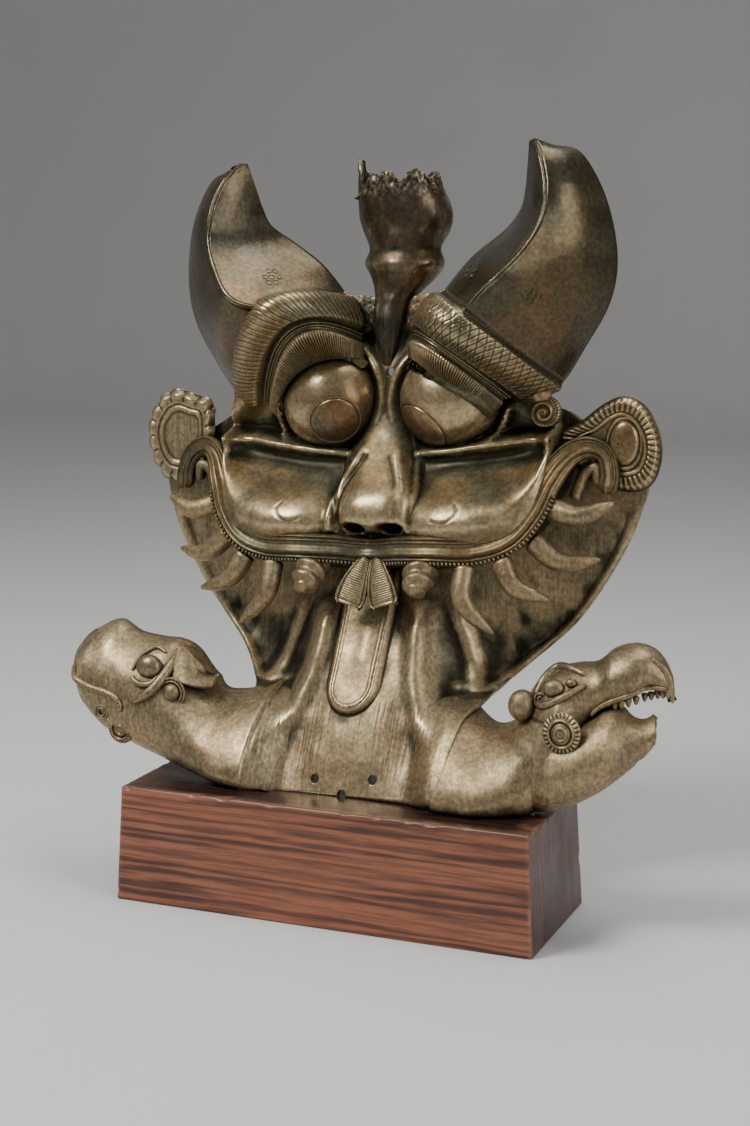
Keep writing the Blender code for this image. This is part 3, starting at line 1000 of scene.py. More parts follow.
# The horns: inner edge, ridge and outer edge, from the tip down to the eyelid's bead line
HORN_INNER = [(87, 52, 431.2), (84.5, 57, 418), (82, 61, 406), (78, 65, 395), (66, 73, 384), (47, 71, 370),
              (30, 68, 351), (21, 61, 340), (17, 56, 328), (15, 55, 318), (14, 55, 310), (14, 60, 309)]
HORN_RIDGE = [(91, 49.5, 432.3), (97, 41, 422), (102, 34, 406), (102, 28, 389), (94, 19, 372), (80, 8, 356),
              (64, 12, 345), (55, 9, 337), (46, 21, 328), (42, 25, 319.5), (41, 40, 310), (40, 50, 307)]
HORN_OUTER = [(99, 58, 428.5), (115, 59, 423), (129, 61, 398), (135, 65, 366), (131, 66, 340), (117, 65, 315),
              (104, 66, 296), (94, 59, 291), (77, 51, 290), (71, 50, 285), (66, 51, 281), (63, 61, 282)]


@dataclass
class Horn:
    """One horn folded along its ridge, with the feathered cuff, ribbed band and lid at its foot.

    brow_arch and brow_set say how far the bands' middle is moved down and forward, and the tops and
    feet are stations along the horn, in knots from its tip.
    """

    side: Side
    wall: float = 3.6
    brow_arch: float = 6.0
    brow_set: float = 7.0
    cuff_top: float = 6.0
    cuff_foot: float = 7.86
    ribbed_top: float = 8.36
    ribbed_foot: float = 9.62
    lid: float = 10.0
    last: float = 11.0
    feather_pitch: float = 3.1
    rib_pitch: float = 1.9
    bead_pitch: float = 1.8
    ring_radius: float = 1.75
    ring_wire: float = 0.3
    rings: tuple[tuple[float, float], ...] = ()

    def form(self, station: Array, share: Array) -> Array:
        """Bare surface.

        Above the cuff the section runs straight from inner edge to ridge to outer edge, swelled by
        half sine waves; lower down it eases into the parabola through the three lines, and its last
        rows are scaled about the eye's centre on to a sphere just outside the eyeball.

        Args:
            station: place along the horn, in knots from its tip, as a column.
            share: place across, 0 at the inner edge to 1 at the outer, as a row.

        Returns:
            Points in millimetres.
        """
        inner, ridge, outer = (along(line, station) for line in (HORN_INNER, HORN_RIDGE, HORN_OUTER))
        share = share[..., None]
        left, right = np.clip(share * 2, 0, 1), np.clip(share * 2 - 1, 0, 1)
        folded = inner + (ridge - inner) * left + (outer - ridge) * right
        bulge = (np.sin(left * math.pi) * 3 + np.sin(right * math.pi) * 6) * np.array([0, -1.0, 0])
        folded = folded + bulge * np.minimum(1, station * 6 / self.last)[..., None]
        arched = inner * (1 - share) * (1 - 2 * share) + ridge * 4 * share * (1 - share)
        arched = arched + outer * share * (2 * share - 1)
        down = smooth_step((station - 5.2) / 1.5)[..., None]
        grid = folded + (arched - folded) * down
        bow = np.sin(share * math.pi) * self.side.value
        grid[..., 2:] -= self.brow_arch * bow * down
        grid[..., 1:2] -= self.brow_set * bow * smooth_step((station - 8.3) / 1.7)[..., None]
        apart = grid - np.array(EYE)
        reach = np.linalg.norm(apart, axis=-1, keepdims=True)
        near = EYE_RADIUS + 1.3 + 2.5 * np.clip(10 - station, 0, 1.2)
        near = near - 8 * smooth_step((station - 10.25) / 0.75)
        hug = smooth_step(station - 8.5)[..., None]
        return np.array(EYE) + apart * (1 + (near[..., None] / reach - 1) * hug)

    def outward(self, grid: Array) -> Array:
        """Normals of a grid in millimetres, turned towards the viewer."""
        normal = normals_of(grid)
        return -normal if normal[..., 1].sum() > 0 else normal

    def horn_relief(self, station: Array, across: Array) -> Array:
        """Two engraved lines beside the ridge: bells of the distance across, fading at the cuff."""
        lines = bump(across - 1.3, 0.36) + bump(across + 1.3, 0.36)
        return -0.34 * lines * smooth_step((5.9 - station) / 0.2) * smooth_step(station / 0.3)

    def brow_relief(self, station: Array, run: Array) -> Array:
        """Height of the brow's bands.

        The cuff and ribbed band are rounded steps in station; its feathers are grooves at equal
        distances across, slanted by station; the ribs and beads are sine waves across.

        Args:
            station: place along, as a column.
            run: distance across in millimetres, as a row.

        Returns:
            Height in millimetres.
        """
        def band(low: float, high: float, ease: float) -> Array:
            """1 between two stations, eased at both ends."""
            return smooth_step((station - low) / ease) * smooth_step((high - station) / ease)

        net = 0.35 + 0.35 * self.side.value
        slant = run + 4.0 * (station - 7) + 0.8 * uneven(run / 5, station * 2, 62)
        feather = 1 - np.abs(2 * (slant / self.feather_pitch % 1) - 1)
        other = 1 - np.abs(2 * ((run - 9.0 * (station - 7)) / 4.3 % 1) - 1)
        grooves = np.clip(1 - feather / 0.34, 0, 1) + net * np.clip(1 - other / 0.28, 0, 1)
        cuff = band(self.cuff_top, self.cuff_foot, 0.30)
        height = 3.6 * cuff - 0.36 * grooves * smooth_step(cuff * 1.4 - 0.3)
        height = height + 1.5 * bump(station - 7.98, 0.045) + 1.1 * bump(station - 8.17, 0.045)
        ribs = band(self.ribbed_top, self.ribbed_foot, 0.28)
        ribbing = 0.34 * np.sin(run * TURN / self.rib_pitch)
        height = height + 2.2 * ribs + ribbing * smooth_step(ribs * 1.5 - 0.4)
        lid = bump(station - self.lid, 0.11)
        return height + 1.5 * lid + 0.6 * lid * np.sin(run * TURN / self.bead_pitch)

    def build(self, horn: bpy.types.Material, brow: bpy.types.Material) -> None:
        """Make the horn, the brow and the small rings on the horn.

        Args:
            horn: polished finish, darkened as a painted dark reflection.
            brow: finish of the engraved bands.
        """
        name = self.side.name.lower()
        t = np.linspace(-1, 1, 151)
        share = (0.5 + 0.5 * (0.42 * t + 0.58 * t * np.abs(t) ** 1.3))[None, :]
        station = np.linspace(0, self.cuff_top + 0.25, 187)[:, None]
        grid = self.form(station + 0 * share, share + 0 * station)
        step = np.linalg.norm(np.diff(grid, axis=1), axis=2)
        run = np.concatenate([np.zeros((len(step), 1)), np.cumsum(step, axis=1)], 1)
        ridge = t.size // 2
        across = run - run[:, ridge : ridge + 1]
        grid = grid + self.outward(grid) * self.horn_relief(station, across)[..., None]
        cast = Casting()
        cast.sheet(place(grid, self.side, HORN_TILT), self.wall)
        cast.make(f"{name}_horn", horn)
        station = np.linspace(self.cuff_top - 0.12, self.last, 166)[:, None]
        share = np.linspace(0, 1, 262)[None, :]
        grid = self.form(station + 0 * share, share + 0 * station)
        step = np.linalg.norm(np.diff(grid[60], axis=0), axis=1)
        run = np.concatenate([[0], np.cumsum(step)])[None, :]
        grid = grid + self.outward(grid) * self.brow_relief(station, run)[..., None]
        cast = Casting()
        cast.sheet(place(grid, self.side, HORN_TILT), self.wall)
        cast.make(f"{name}_brow", brow)
        self.build_rings(name, horn)

    def build_rings(self, name: str, finish: bpy.types.Material) -> None:
        """Small raised rings: a torus set down at each place and turned to the horn's normal there.

        The normal is the cross product of the steps to two points close by.

        Args:
            name: the side's name.
            finish: the horn's finish.
        """
        spot = np.array(self.rings)
        shifts = ((0, 0), (0.02, 0), (0, 0.004))
        near = [self.form(spot[:, :1] + a, spot[:, 1:] + b)[:, 0] for a, b in shifts]
        centre, down, across = (place(p, self.side, HORN_TILT) for p in near)
        down, across = down - centre, across - centre
        normal = np.cross(down, across)
        normal *= -np.sign(normal[:, 1:2])
        axes = [down, np.cross(normal, down), normal]
        turns = np.stack([a / np.linalg.norm(a, axis=1, keepdims=True) for a in axes], 1)
        u = np.linspace(0, TURN, 14, endpoint=False)[:, None]
        v = np.linspace(0, TURN, 5, endpoint=False)[None, :]
        reach = self.ring_radius + self.ring_wire * np.cos(v)
        ring = np.stack([reach * np.cos(u), reach * np.sin(u), self.ring_wire * np.sin(v) + 0 * u], -1)
        index = Casting.numbered(ring)
        index = np.concatenate([index, index[:1]])
        cast = Casting()
        cast.repeated(ring.reshape(-1, 3) * UNIT, Casting.quads(index, True), centre, turns)
        cast.make(f"{name}_rings", finish)


@dataclass
class Eyeball:
    """A bulging eyeball with an engraved ring round its iris."""

    side: Side
    azimuth: float = 26.0
    drop: float = 21.0
    iris: float = 36.5
    wall: float = 2.0

    def build(self, finish: bpy.types.Material) -> None:
        """Sphere in rings about the iris's axis, each ring an angle from it; the last rings end at the
        equator that faces the viewer, and the engraved ring is a bell of the angle, set back.

        Args:
            finish: the eyes' glossy finish.
        """
        turn, fall = math.radians(self.azimuth), math.radians(self.drop)
        level = math.cos(fall)
        axis = np.array([-math.sin(turn) * level, -math.cos(turn) * level, -math.sin(fall)])
        aside = np.cross(axis, [0, 0, 1.0])
        aside /= np.linalg.norm(aside)
        above = np.cross(aside, axis)
        around = np.linspace(0, TURN, 121)
        ring = np.cos(around)[:, None] * aside + np.sin(around)[:, None] * above
        lean = np.arctan2(-ring[:, 1], -axis[1])
        last = lean + np.arccos(0.06 / np.hypot(ring[:, 1], axis[1]))
        ring_at = np.linspace(self.iris - 3.4, self.iris + 3.4, 17)
        near = np.radians(np.concatenate([np.linspace(0.4, self.iris - 4, 22), ring_at]))
        outer = near[-1] + (last - near[-1]) * np.linspace(0.03, 1, 43)[:, None]
        angle = np.concatenate([near[:, None] + 0 * last, outer])
        offset = np.degrees(angle) - self.iris
        radius = EYE_RADIUS - 0.55 * bump(offset, 0.9) + 0.25 * smooth_step(-offset / 4)
        grid = radius[..., None] * (np.cos(angle)[..., None] * axis + np.sin(angle)[..., None] * ring)
        cast = Casting()
        cast.sheet(place(grid + np.array(EYE), self.side, TILT), self.wall, closed=True)
        cast.make(f"{self.side.name.lower()}_eye", finish)


# The lip band's middle line from the nose to its curl, the fangs that hang from it, their radii and
# the small curl inside the band's end
LIP = [(0, 29, 204), (20, 24, 206), (42, 20, 207), (66, 25, 207), (84, 30, 213), (96, 36, 227),
       (103, 43, 244), (111, 52, 257), (121, 58, 262), (131, 60, 258), (135, 57, 247), (134, 54, 236)]
FANGS = [[(104, 42, 229), (122, 40, 225), (141, 46, 232)], [(95, 37, 212), (112, 38, 199), (134, 45, 200)],
         [(80, 28, 201), (90, 24, 186), (110, 25, 179)], [(60, 24, 198), (62, 16, 178), (80, 17, 160)]]
FANG_RADII = (6.6, 6.4, 5.6, 4.2, 1.0)
INNER_CURL = [(114, 56, 232), (119, 60, 246), (126, 60, 250), (128, 60, 240)]


@dataclass
class Mouth:
    """The ridged lip band with its bead line, the inner curls, fangs, spiral knobs and leaves."""

    rows: int = 421
    half_width: float = 8.2
    bead_run: tuple[float, float] = (0.19, 0.81)
    bead_share: float = 0.62
    bead_pitch: float = 2.25
    bead_radius: float = 1.35
    knob_turns: float = 4.0

    def lip_profile(self, girth: Array) -> Array:
        """Section of the band: a flat back under two thin ridges, a shallow hollow, a roll and a groove.

        Args:
            girth: share of the full width at each row.

        Returns:
            (across, out) pairs, positive across being the cheek side.
        """
        s = np.linspace(-1, 1, 61)
        height = 1.2 + 3.0 * np.sqrt(np.clip(1 - s**4, 0, 1))
        height = height + 0.8 * bump(s - 0.84, 0.06) - 0.6 * bump(s - 0.70, 0.05) + 0.7 * bump(s - 0.56, 0.06)
        height = height - 1.0 * bump(s - 0.26, 0.22) + 1.5 * bump(s + 0.22, 0.20) - 0.7 * bump(s + 0.50, 0.05)
        height = height + 0.6 * bump(s + 0.66, 0.06)
        height[[0, -1]] = 0.5
        front = np.stack([s * self.half_width, height], -1)
        back = np.array([[0.8 * self.half_width, -5.0], [-0.8 * self.half_width, -5.0]])
        return np.concatenate([front, back])[None] * girth[:, None, None]

    def build_band(self, finish: bpy.types.Material) -> None:
        """Carry the section along the whole line, right curl to left, with beads along its lower edge.

        Args:
            finish: the band's finish.
        """
        right = [(x, y, z + TILT * x) for x, y, z in LIP]
        left = [(-x, y, z - TILT * x) for x, y, z in LIP[1:]]
        line = right[::-1] + left
        path = even(line, self.rows)
        spot = np.abs(np.linspace(-1, 1, self.rows))
        girth = 1 - 0.32 * smooth_step((spot - 0.62) / 0.3)
        girth = girth * np.sqrt(np.clip((1.004 - spot) / 0.02, 0.05, 1))
        cast = Casting()
        cast.tube(place(carried(path, self.lip_profile(girth)), Side.RIGHT, 0.0))
        run = np.linalg.norm(np.diff(path, axis=0), axis=1).sum() * self.bead_share
        count = int(run / self.bead_pitch)
        first, last = (round(share * self.rows) for share in self.bead_run)
        spots = even(path[first:last], count)
        ring = carried(spots, np.array([[-0.92 * self.half_width, 3.3]])[None] * np.ones((count, 1, 1)))[:, 0]
        tangent, out = directions(ring)
        turns = np.stack([tangent, np.cross(out, tangent), out], 1)
        u = np.linspace(0, TURN, 8, endpoint=False)[:, None]
        v = np.linspace(-math.pi / 2, math.pi / 2, 5)[None, :]
        bead = np.stack([0.82 * np.cos(v) * np.cos(u), 1.15 * np.cos(v) * np.sin(u), np.sin(v) + 0 * u], -1)
        index = Casting.numbered(bead)
        index = np.concatenate([index, index[:1]]).T
        bead = bead.reshape(-1, 3) * self.bead_radius * UNIT
        cast.repeated(bead, Casting.quads(index), place(ring, Side.RIGHT, 0.0), turns)
        cast.make("lip_band", finish)

    def build_fangs(self, side: Side, finish: bpy.types.Material) -> None:
        """Fangs and the inner curl, each a tapered rod, wider than deep.

        Args:
            side: which half.
            finish: their finish.
        """
        cast = Casting()
        for line in FANGS:
            cast.rod(line, FANG_RADII, side, flat=0.9, rows=44, columns=20)
        cast.rod(INNER_CURL, (3.5, 3.5), side)
        cast.make(f"{side.name.lower()}_fangs", finish)

    def build_knob(self, side: Side, finish: bpy.types.Material) -> None:
        """Spiral knob: a rounded spindle whose radius rises and falls with turns along plus turns round.

        Args:
            side: which half.
            finish: its finish.
        """
        path = even([(33, 32, 203), (34, 24, 196), (34.5, 15, 188.5), (34.5, 8, 182)], 90)
        spot = np.linspace(0, 1, 90)[:, None]
        turn = np.linspace(0, TURN, 48, endpoint=False)[None, :]
        girth = np.interp(spot, [0, 0.2, 0.45, 0.7, 0.9, 1], [8.4, 9.4, 9.6, 8.6, 6.0, 1.2])
        wave = 0.9 * np.sin(TURN * self.knob_turns * spot + turn)
        radius = girth + wave * np.minimum(1, (1.02 - spot) * 6)
        profile = np.stack([radius * np.cos(turn), radius * np.sin(turn)], -1)
        cast = Casting()
        cast.tube(place(carried(path, profile), side))
        cast.make(f"{side.name.lower()}_knob", finish)

    def build_leaf(self, side: Side, finish: bpy.types.Material) -> None:
        """Leaf between the knobs: an arched strip that widens downwards, with a border and fine ribs.

        Args:
            side: which half.
            finish: its finish.
        """
        rows, columns = 100, 43
        middle = 2.1 * side.value
        path = even([(3.4 + middle, 25, 200), (7.2 + middle, 19.5, 189), (11.5 + middle, 16.5, 174)], rows)
        spot = np.linspace(0, 1, rows)[:, None]
        s = np.linspace(-1, 1, columns)[None, :]
        half = curve_value([(0, 3.6), (0.25, 5.8), (0.6, 8.6), (0.85, 9.4), (0.96, 8.6), (1, 7.2)], spot)
        height = 1.6 * (1 - s**2) + 0.55 * bump(np.abs(s) - 0.92, 0.07) - 0.5 * bump(np.abs(s) - 0.76, 0.06)
        inner = smooth_step((0.70 - np.abs(s)) / 0.06) * smooth_step((0.9 - spot) / 0.04)
        height = height + 0.15 * np.sin(spot * TURN * 22 + 3 * s**2) * inner
        height = height - 0.5 * bump(spot - 0.93, 0.02)
        profile = np.stack([s * half, height + 0 * spot], -1)
        cast = Casting()
        cast.sheet(place(carried(path, profile), side), 2.6)
        cast.make(f"{side.name.lower()}_leaf", finish)

    def build(self, band: bpy.types.Material, bone: bpy.types.Material) -> None:
        """Make everything round the mouth.

        Args:
            band: finish of the lip band.
            bone: finish of the fangs, knobs and leaves.
        """
        self.build_band(band)
        for side in Side:
            self.build_fangs(side, bone)
            self.build_knob(side, bone)
            self.build_leaf(side, bone)


# Outlines of the ears, as (x, z), round from the cheek
LEFT_EAR = [(118, 262), (119, 286), (130, 291), (142, 294.5), (151, 292), (156, 287.5), (162, 278),
            (164, 267), (162, 255), (158, 246), (150, 238), (136, 238), (124, 246)]
RIGHT_EAR = [(108, 258), (101, 270), (115, 277.5), (129, 288), (141, 292.5), (152, 288), (159, 278),
             (163, 265), (162, 252), (157, 242), (147, 238), (134, 240), (120, 246)]


@dataclass
class Ear:
    """One ear: a scalloped disc at the left, a leaf shape with a hatched rim at the right."""

    side: Side
    centre: tuple[float, float] = (139.0, 266.0)
    depth: float = 60.5
    notches: int = 15
    columns: int = 241
    tilt: float = 0.02
    wall: float = 4.0

    def build(self, finish: bpy.types.Material) -> None:
        """Rings that shrink from the outline to the centre.

        Height is the sum of a rim, cut by a sine wave of the running distance round it, a groove
        and a raised ring; the right ear has a smooth oval boss in its middle.

        Args:
            finish: the ear's finish.
        """
        outline = LEFT_EAR if self.side is Side.LEFT else RIGHT_EAR
        ring = even([(x, 0, z) for x, z in outline + outline[:1]], self.columns)[None]
        reach = np.linspace(0.02, 1, 49)[:, None]
        turn = np.linspace(0, TURN, self.columns)[None, :]
        x = self.centre[0] + (ring[..., 0] - self.centre[0]) * reach
        z = self.centre[1] + (ring[..., 2] - self.centre[1]) * reach
        rim = smooth_step((reach - 0.66) / 0.06)
        if self.side is Side.LEFT:
            lobe = np.abs(np.sin(turn * self.notches / 2)) ** 0.7 - 0.5
            height = 1.2 * rim + 1.9 * lobe * rim * smooth_step((reach - 0.68) / 0.2)
            height = height + 1.3 * bump(reach - 0.60, 0.06)
            grow = 1 + 0.045 * lobe * smooth_step((reach - 0.85) / 0.15)
            x = self.centre[0] + (x - self.centre[0]) * grow
            z = self.centre[1] + (z - self.centre[1]) * grow
        else:
            wave = np.sin(turn * self.notches * 3)
            height = 0.8 * rim + 0.40 * wave * rim * smooth_step((0.97 - reach) / 0.05)
            height = height + 0.8 * bump(reach - 0.62, 0.035)
            boss = np.hypot((x - 142) / 8.5, (z - 266) / 12.5)
            height = height + 3.4 * np.sqrt(np.clip(1 - boss**2, 0, 1)) + 0.6 * bump(boss - 1.15, 0.07)
        y = self.depth + 4 * smooth_step((reach - 0.86) / 0.14) - height
        cast = Casting()
        cast.sheet(place(np.stack([x, y, z], -1), self.side, self.tilt), self.wall, closed=True)
        cast.make(f"{self.side.name.lower()}_ear", finish)


# The arms and the bird-like heads: upper and lower outline from the neck outwards. The four long
# outlines are given before they are drawn in, so that the beaks stay inside the CAD's box.
RIGHT_UPPER = [(55, 124), (64, 122), (82, 112), (94, 116), (101, 131), (112, 145), (129, 151), (141, 153),
               (151, 161), (164, 164), (176, 160), (184.5, 148), (186.3, 135)]
RIGHT_LOWER = [(55, 67), (66, 66), (86, 66), (100, 67), (113, 70), (126, 90), (140, 120), (150, 129),
               (158, 132), (165, 136), (172, 141), (180, 140), (185, 134)]
JAW_UPPER = [(112, 120), (128, 119), (142, 125), (150, 130), (156, 130.5), (163, 125), (169, 124), (173, 127)]
JAW_LOWER = [(112, 69), (124, 71), (136, 76), (148, 83), (159, 92), (169, 102), (176, 112)]
LEFT_UPPER = [(55, 124), (66, 119), (88, 116), (98, 124), (108, 139), (118, 145), (130, 146), (146, 148),
              (160, 154), (173, 150), (182, 141), (189, 130), (191, 122)]
LEFT_LOWER = [(55, 66), (62, 66.5), (76, 68), (92, 71), (108, 73), (122, 76), (136, 80), (148, 84),
              (159, 88), (168, 94), (174, 102), (179, 112), (187, 120)]

# Folds laid on the heads: knots as (across, lift off the surface, up), then the rod's radii
RIGHT_FOLDS = [
    ([(110, 0, 133), (113, 0.5, 142), (119, 0.5, 148), (129, 0.5, 149), (138, 0.5, 147)],
     (2.0, 2.6, 2.6, 2.3, 1.6)),
    ([(110, 0, 130), (118, 0.5, 131), (128, 0.5, 136), (139, 0.5, 143)], (1.8, 2.2, 2.2, 1.4)),
    ([(141, 0.5, 125), (146, 0.5, 130), (153, 0.5, 134), (162, 0.5, 138), (171, 0.5, 142), (182, 0.5, 142)],
     (1.4, 1.7, 1.7, 1.6, 1.3)),
    ([(173, 0.5, 158), (180, 0.5, 152), (183.5, 0.3, 144), (185, 0.2, 134)], (1.3, 1.9, 1.9, 1.0)),
]
LEFT_FOLDS = [
    ([(139, 0.5, 126), (133, 1, 122.5), (125, 1, 123), (119, 0.5, 130)], (1.2, 1.8, 1.8, 1.2)),
    ([(139, 0.5, 129), (136, 1, 137), (129, 1, 141.5), (121, 0.5, 139)], (1.0, 1.5, 1.5, 1.0)),
    ([(116, 0, 141), (117, 0.5, 131), (123, 0.5, 120), (131, 0.5, 114), (139, 0, 112)],
     (1.6, 3.2, 3.6, 3.0, 1.2)),
    ([(186.5, 0.3, 124), (185.5, 0.6, 133), (180, 0.6, 142), (171, 0.5, 149)], (1.2, 2.0, 2.0, 1.2)),
]
LEFT_JAW_LINE = [(184, 0.3, 127), (176, 0.5, 122), (165, 0.5, 117.5), (154, 0.5, 115.5), (146, 0.5, 112),
                 (143, 0.5, 105)]


@dataclass
class Heads:
    """The two arms that end in bird-like heads, open-beaked at the right and closed at the left.

    Beyond reach_start an outline's knots keep only reach_share of the rest of their distance across.
    """

    wall: float = 3.4
    rows: int = 220
    columns: int = 94
    teeth: int = 9
    reach_start: float = 150.0
    reach_share: float = 0.965
    arm_end: float = 80.0
    head_start: float = 130.0
    head_rim: float = 9.0
    thickest: float = 24.0

    def drawn_in(self, knots: Points) -> Points:
        """Knots whose distance across is start + share * (distance - start) beyond the start."""
        start = self.reach_start
        return [(x if x <= start else start + self.reach_share * (x - start), z) for x, z in knots]

    def limb(self, upper: Points, lower: Points, side: Side) -> Array:
        """Half-round front between two outlines: the rim's depth less a circle's height.

        Args:
            upper: upper outline, from the neck.
            lower: lower outline.
            side: which half.

        Returns:
            Rows by columns of points in millimetres.
        """
        top, foot = spline(upper, self.rows), spline(lower, self.rows)
        angle = np.linspace(-math.pi / 2, math.pi / 2, self.columns)[None, :]
        share = np.sin(angle) * 0.35 + angle / (math.pi / 2) * 0.65
        x = (top[:, :1] + foot[:, :1]) / 2 + (top[:, :1] - foot[:, :1]) / 2 * share
        z = (top[:, 1:] + foot[:, 1:]) / 2 + (top[:, 1:] - foot[:, 1:]) / 2 * share
        far = smooth_step((x - self.arm_end) / (self.head_start - self.arm_end))
        near_rim = curve_value(RIM, np.clip(z, 66, 122)) + 3
        far_rim = self.head_rim + 0.25 * (z - 115)
        thick = np.minimum(self.thickest, 0.5 * np.hypot(*(top - foot).T)[:, None] + 2)
        y = near_rim + (far_rim - near_rim) * far - thick * np.sqrt(np.clip(1 - share**2, 0, 1))
        y = y + 5 * smooth_step((60 - x) / 5) - 1.2 * smooth_step((90 - x) / 20)
        y = y + 0.35 * uneven(x / 8, z / 7, 11 + side.value) + 0.03 * uneven(x / 2.2, z / 2.2, 14)
        return np.stack([x, y, z], -1)

    @staticmethod
    def raised(limb: Array, points: Points) -> list[list[float]]:
        """Places given as (x, lift, z) set on a limb: y is its nearest point's depth less the lift.

        Args:
            limb: the limb's grid in millimetres.
            points: the places.

        Returns:
            The same places as (x, y, z).
        """
        found = []
        for x, lift, z in points:
            apart = np.hypot(limb[..., 0] - x, limb[..., 2] - z)
            found.append([x, float(limb[..., 1].flat[apart.argmin()]) - lift, z])
        return found

    def add_limb(self, cast: Casting, grid: Array, side: Side) -> None:
        """Add a limb's sheet to a casting, resting no lower than the foot."""
        grid[..., 2] = np.maximum(grid[..., 2], FOOT_Z)
        cast.sheet(place(grid, side, 0.0), self.wall)

    def gill(self, cast: Casting, centre: Sequence[float], radii: Sequence[float], side: Side) -> None:
        """Oval cheek ornament: rings about its centre, with a hatched rim and a framed middle.

        Args:
            cast: where it goes.
            centre: its middle in millimetres.
            radii: half-width, thickness and half-height.
            side: which half.
        """
        reach = np.linspace(0.03, 1, 34)[:, None]
        turn = np.linspace(0, TURN, 145)[None, :]
        hatch = np.sin(turn * 26) * smooth_step((reach - 0.70) / 0.06) * smooth_step((0.98 - reach) / 0.04)
        height = radii[1] * np.sqrt(np.clip(1.02 - reach**2, 0, 1)) * 0.55 + 0.45 * hatch
        height = height + 0.9 * bump(reach - 0.64, 0.05) - 0.8 * bump(reach - 0.52, 0.05)
        height = height + 0.8 * bump(reach - 0.30, 0.06)
        x = centre[0] + radii[0] * reach * np.cos(turn)
        z = centre[2] + radii[2] * reach * np.sin(turn)
        cast.sheet(place(np.stack([x, centre[1] - height, z], -1), side, 0.0), 3.0, closed=True)

    def rings(self, cast: Casting, centre: Sequence[float], radii: Sequence[float], side: Side) -> None:
        """Thin raised rings, one outside another, each a rod bent round a circle.

        Args:
            cast: where they go.
            centre: their middle in millimetres.
            radii: their radii.
            side: which half.
        """
        turn = np.linspace(0, TURN, 41)
        for radius in radii:
            x, z = centre[0] + radius * np.cos(turn), centre[2] + radius * np.sin(turn)
            knots = np.stack([x, centre[1] + 0 * turn, z], -1)
            cast.tube(place(carried(knots, round_profile(np.full(41, 0.75), 8)), side, 0.0))

    def build_right(self, finish: bpy.types.Material) -> None:
        """Arm, upper beak with its teeth, lower jaw with its broken end, eye, brow, crest and gill.

        Args:
            finish: the heads' finish.
        """
        side, cast = Side.RIGHT, Casting()
        limb = self.limb(self.drawn_in(RIGHT_UPPER), self.drawn_in(RIGHT_LOWER), side)
        self.add_limb(cast, limb, side)
        jaw = self.limb(JAW_UPPER, JAW_LOWER, side)
        ragged = smooth_step((jaw[..., 0] - 160) / 14)
        jaw[..., 1] += 4.5 * smooth_step((126 - jaw[..., 0]) / 14)
        jaw[..., 0] += ragged * (1.2 * uneven(jaw[..., 2] / 3.5, 0 * jaw[..., 2], 21))
        jaw[..., 0] += ragged * 5 * np.sin(np.linspace(0, math.pi, self.columns))
        self.add_limb(cast, jaw, side)
        cast.make("right_head", finish)
        cast = Casting()
        cast.ball((103, 0, 128), (8, 8, 9), side, 0)
        for line, radii in RIGHT_FOLDS:
            cast.rod(self.raised(limb, line), radii, side, 0)
        eye, = self.raised(limb, [(122, 1, 140)])
        cast.ball(eye, (6.4, 5.0, 5.2), side, 0)
        spots = [(131, 0, 143), (114, 0.5, 133), (144, 0.4, 123), (130, 2.0, 118)]
        inner, scroll, corner, gill = self.raised(limb, spots)
        cast.ball(inner, (3.4, 3.0, 2.8), side, 0)
        self.rings(cast, scroll, (1.2, 3.2), side)
        self.rings(cast, corner, (3.0, 1.6), side)
        for tooth in range(self.teeth):
            share = tooth / (self.teeth - 1)
            root, = self.raised(limb, [(154 + 28 * share, -1.5, 133.5 + 8 * share)])
            tip = [root[0] + 0.4, root[1] - 1.0, root[2] - 5.0]
            cast.rod([root, tip], (2.1, 1.8, 0.7), side, 0, 12, 10)
        self.gill(cast, gill, (11, 6, 12), side)
        cast.make("right_head_carving", finish)

    def build_left(self, finish: bpy.types.Material) -> None:
        """Arm, closed beak, eye with lids, brow fold, ringed knob, beaded jaw line, gill and torn flap.

        Args:
            finish: the heads' finish.
        """
        side, cast = Side.LEFT, Casting()
        limb = self.limb(self.drawn_in(LEFT_UPPER), self.drawn_in(LEFT_LOWER), side)
        self.add_limb(cast, limb, side)
        cast.make("left_head", finish)
        cast = Casting()
        for line, radii in LEFT_FOLDS:
            cast.rod(self.raised(limb, line), radii, side, 0)
        jaw = self.raised(limb, LEFT_JAW_LINE)
        cast.rod(jaw, (1.6, 2.0, 2.0, 1.6), side, 0)
        for spot in even(jaw, 28)[2:26]:
            cast.ball(spot + np.array([0, -1.7, 0]), (1.0, 1.0, 1.0), side, 0, 6, 8)
        spots = [(128.5, 0.5, 131.5), (112.5, 0.5, 118), (158, 0.4, 103), (146, -2, 93)]
        eye, knob, hole, gill = self.raised(limb, spots)
        cast.ball(eye, (8.4, 6.0, 7.6), side, 0)
        cast.ball(knob, (5.4, 4.6, 5.4), side, 0)
        self.rings(cast, knob, (6.6, 8.5), side)
        self.rings(cast, hole, (4.0, 2.4), side)
        self.gill(cast, gill, (9, 5, 9), side)
        flap = np.linspace(0, 1, 31)[:, None]
        across = np.linspace(0, 1, 25)[None, :]
        x = 114 - 24 * flap + 0.8 * uneven(flap * 5, across * 3, 33)
        z = 124 + 19 * across * (1 - 0.7 * flap) - 2 * flap + 3 * np.sin(flap * TURN) * across
        y = -7 + 7 * flap + 9 * across - 3 * np.sin(flap * math.pi) * (1 - across)
        cast.sheet(place(np.stack([x, y, z], -1), side, 0.0), 2.6)
        cast.make("left_head_carving", finish)

    def build(self, finish: bpy.types.Material) -> None:
        """Make both heads."""
        self.build_right(finish)
        self.build_left(finish)


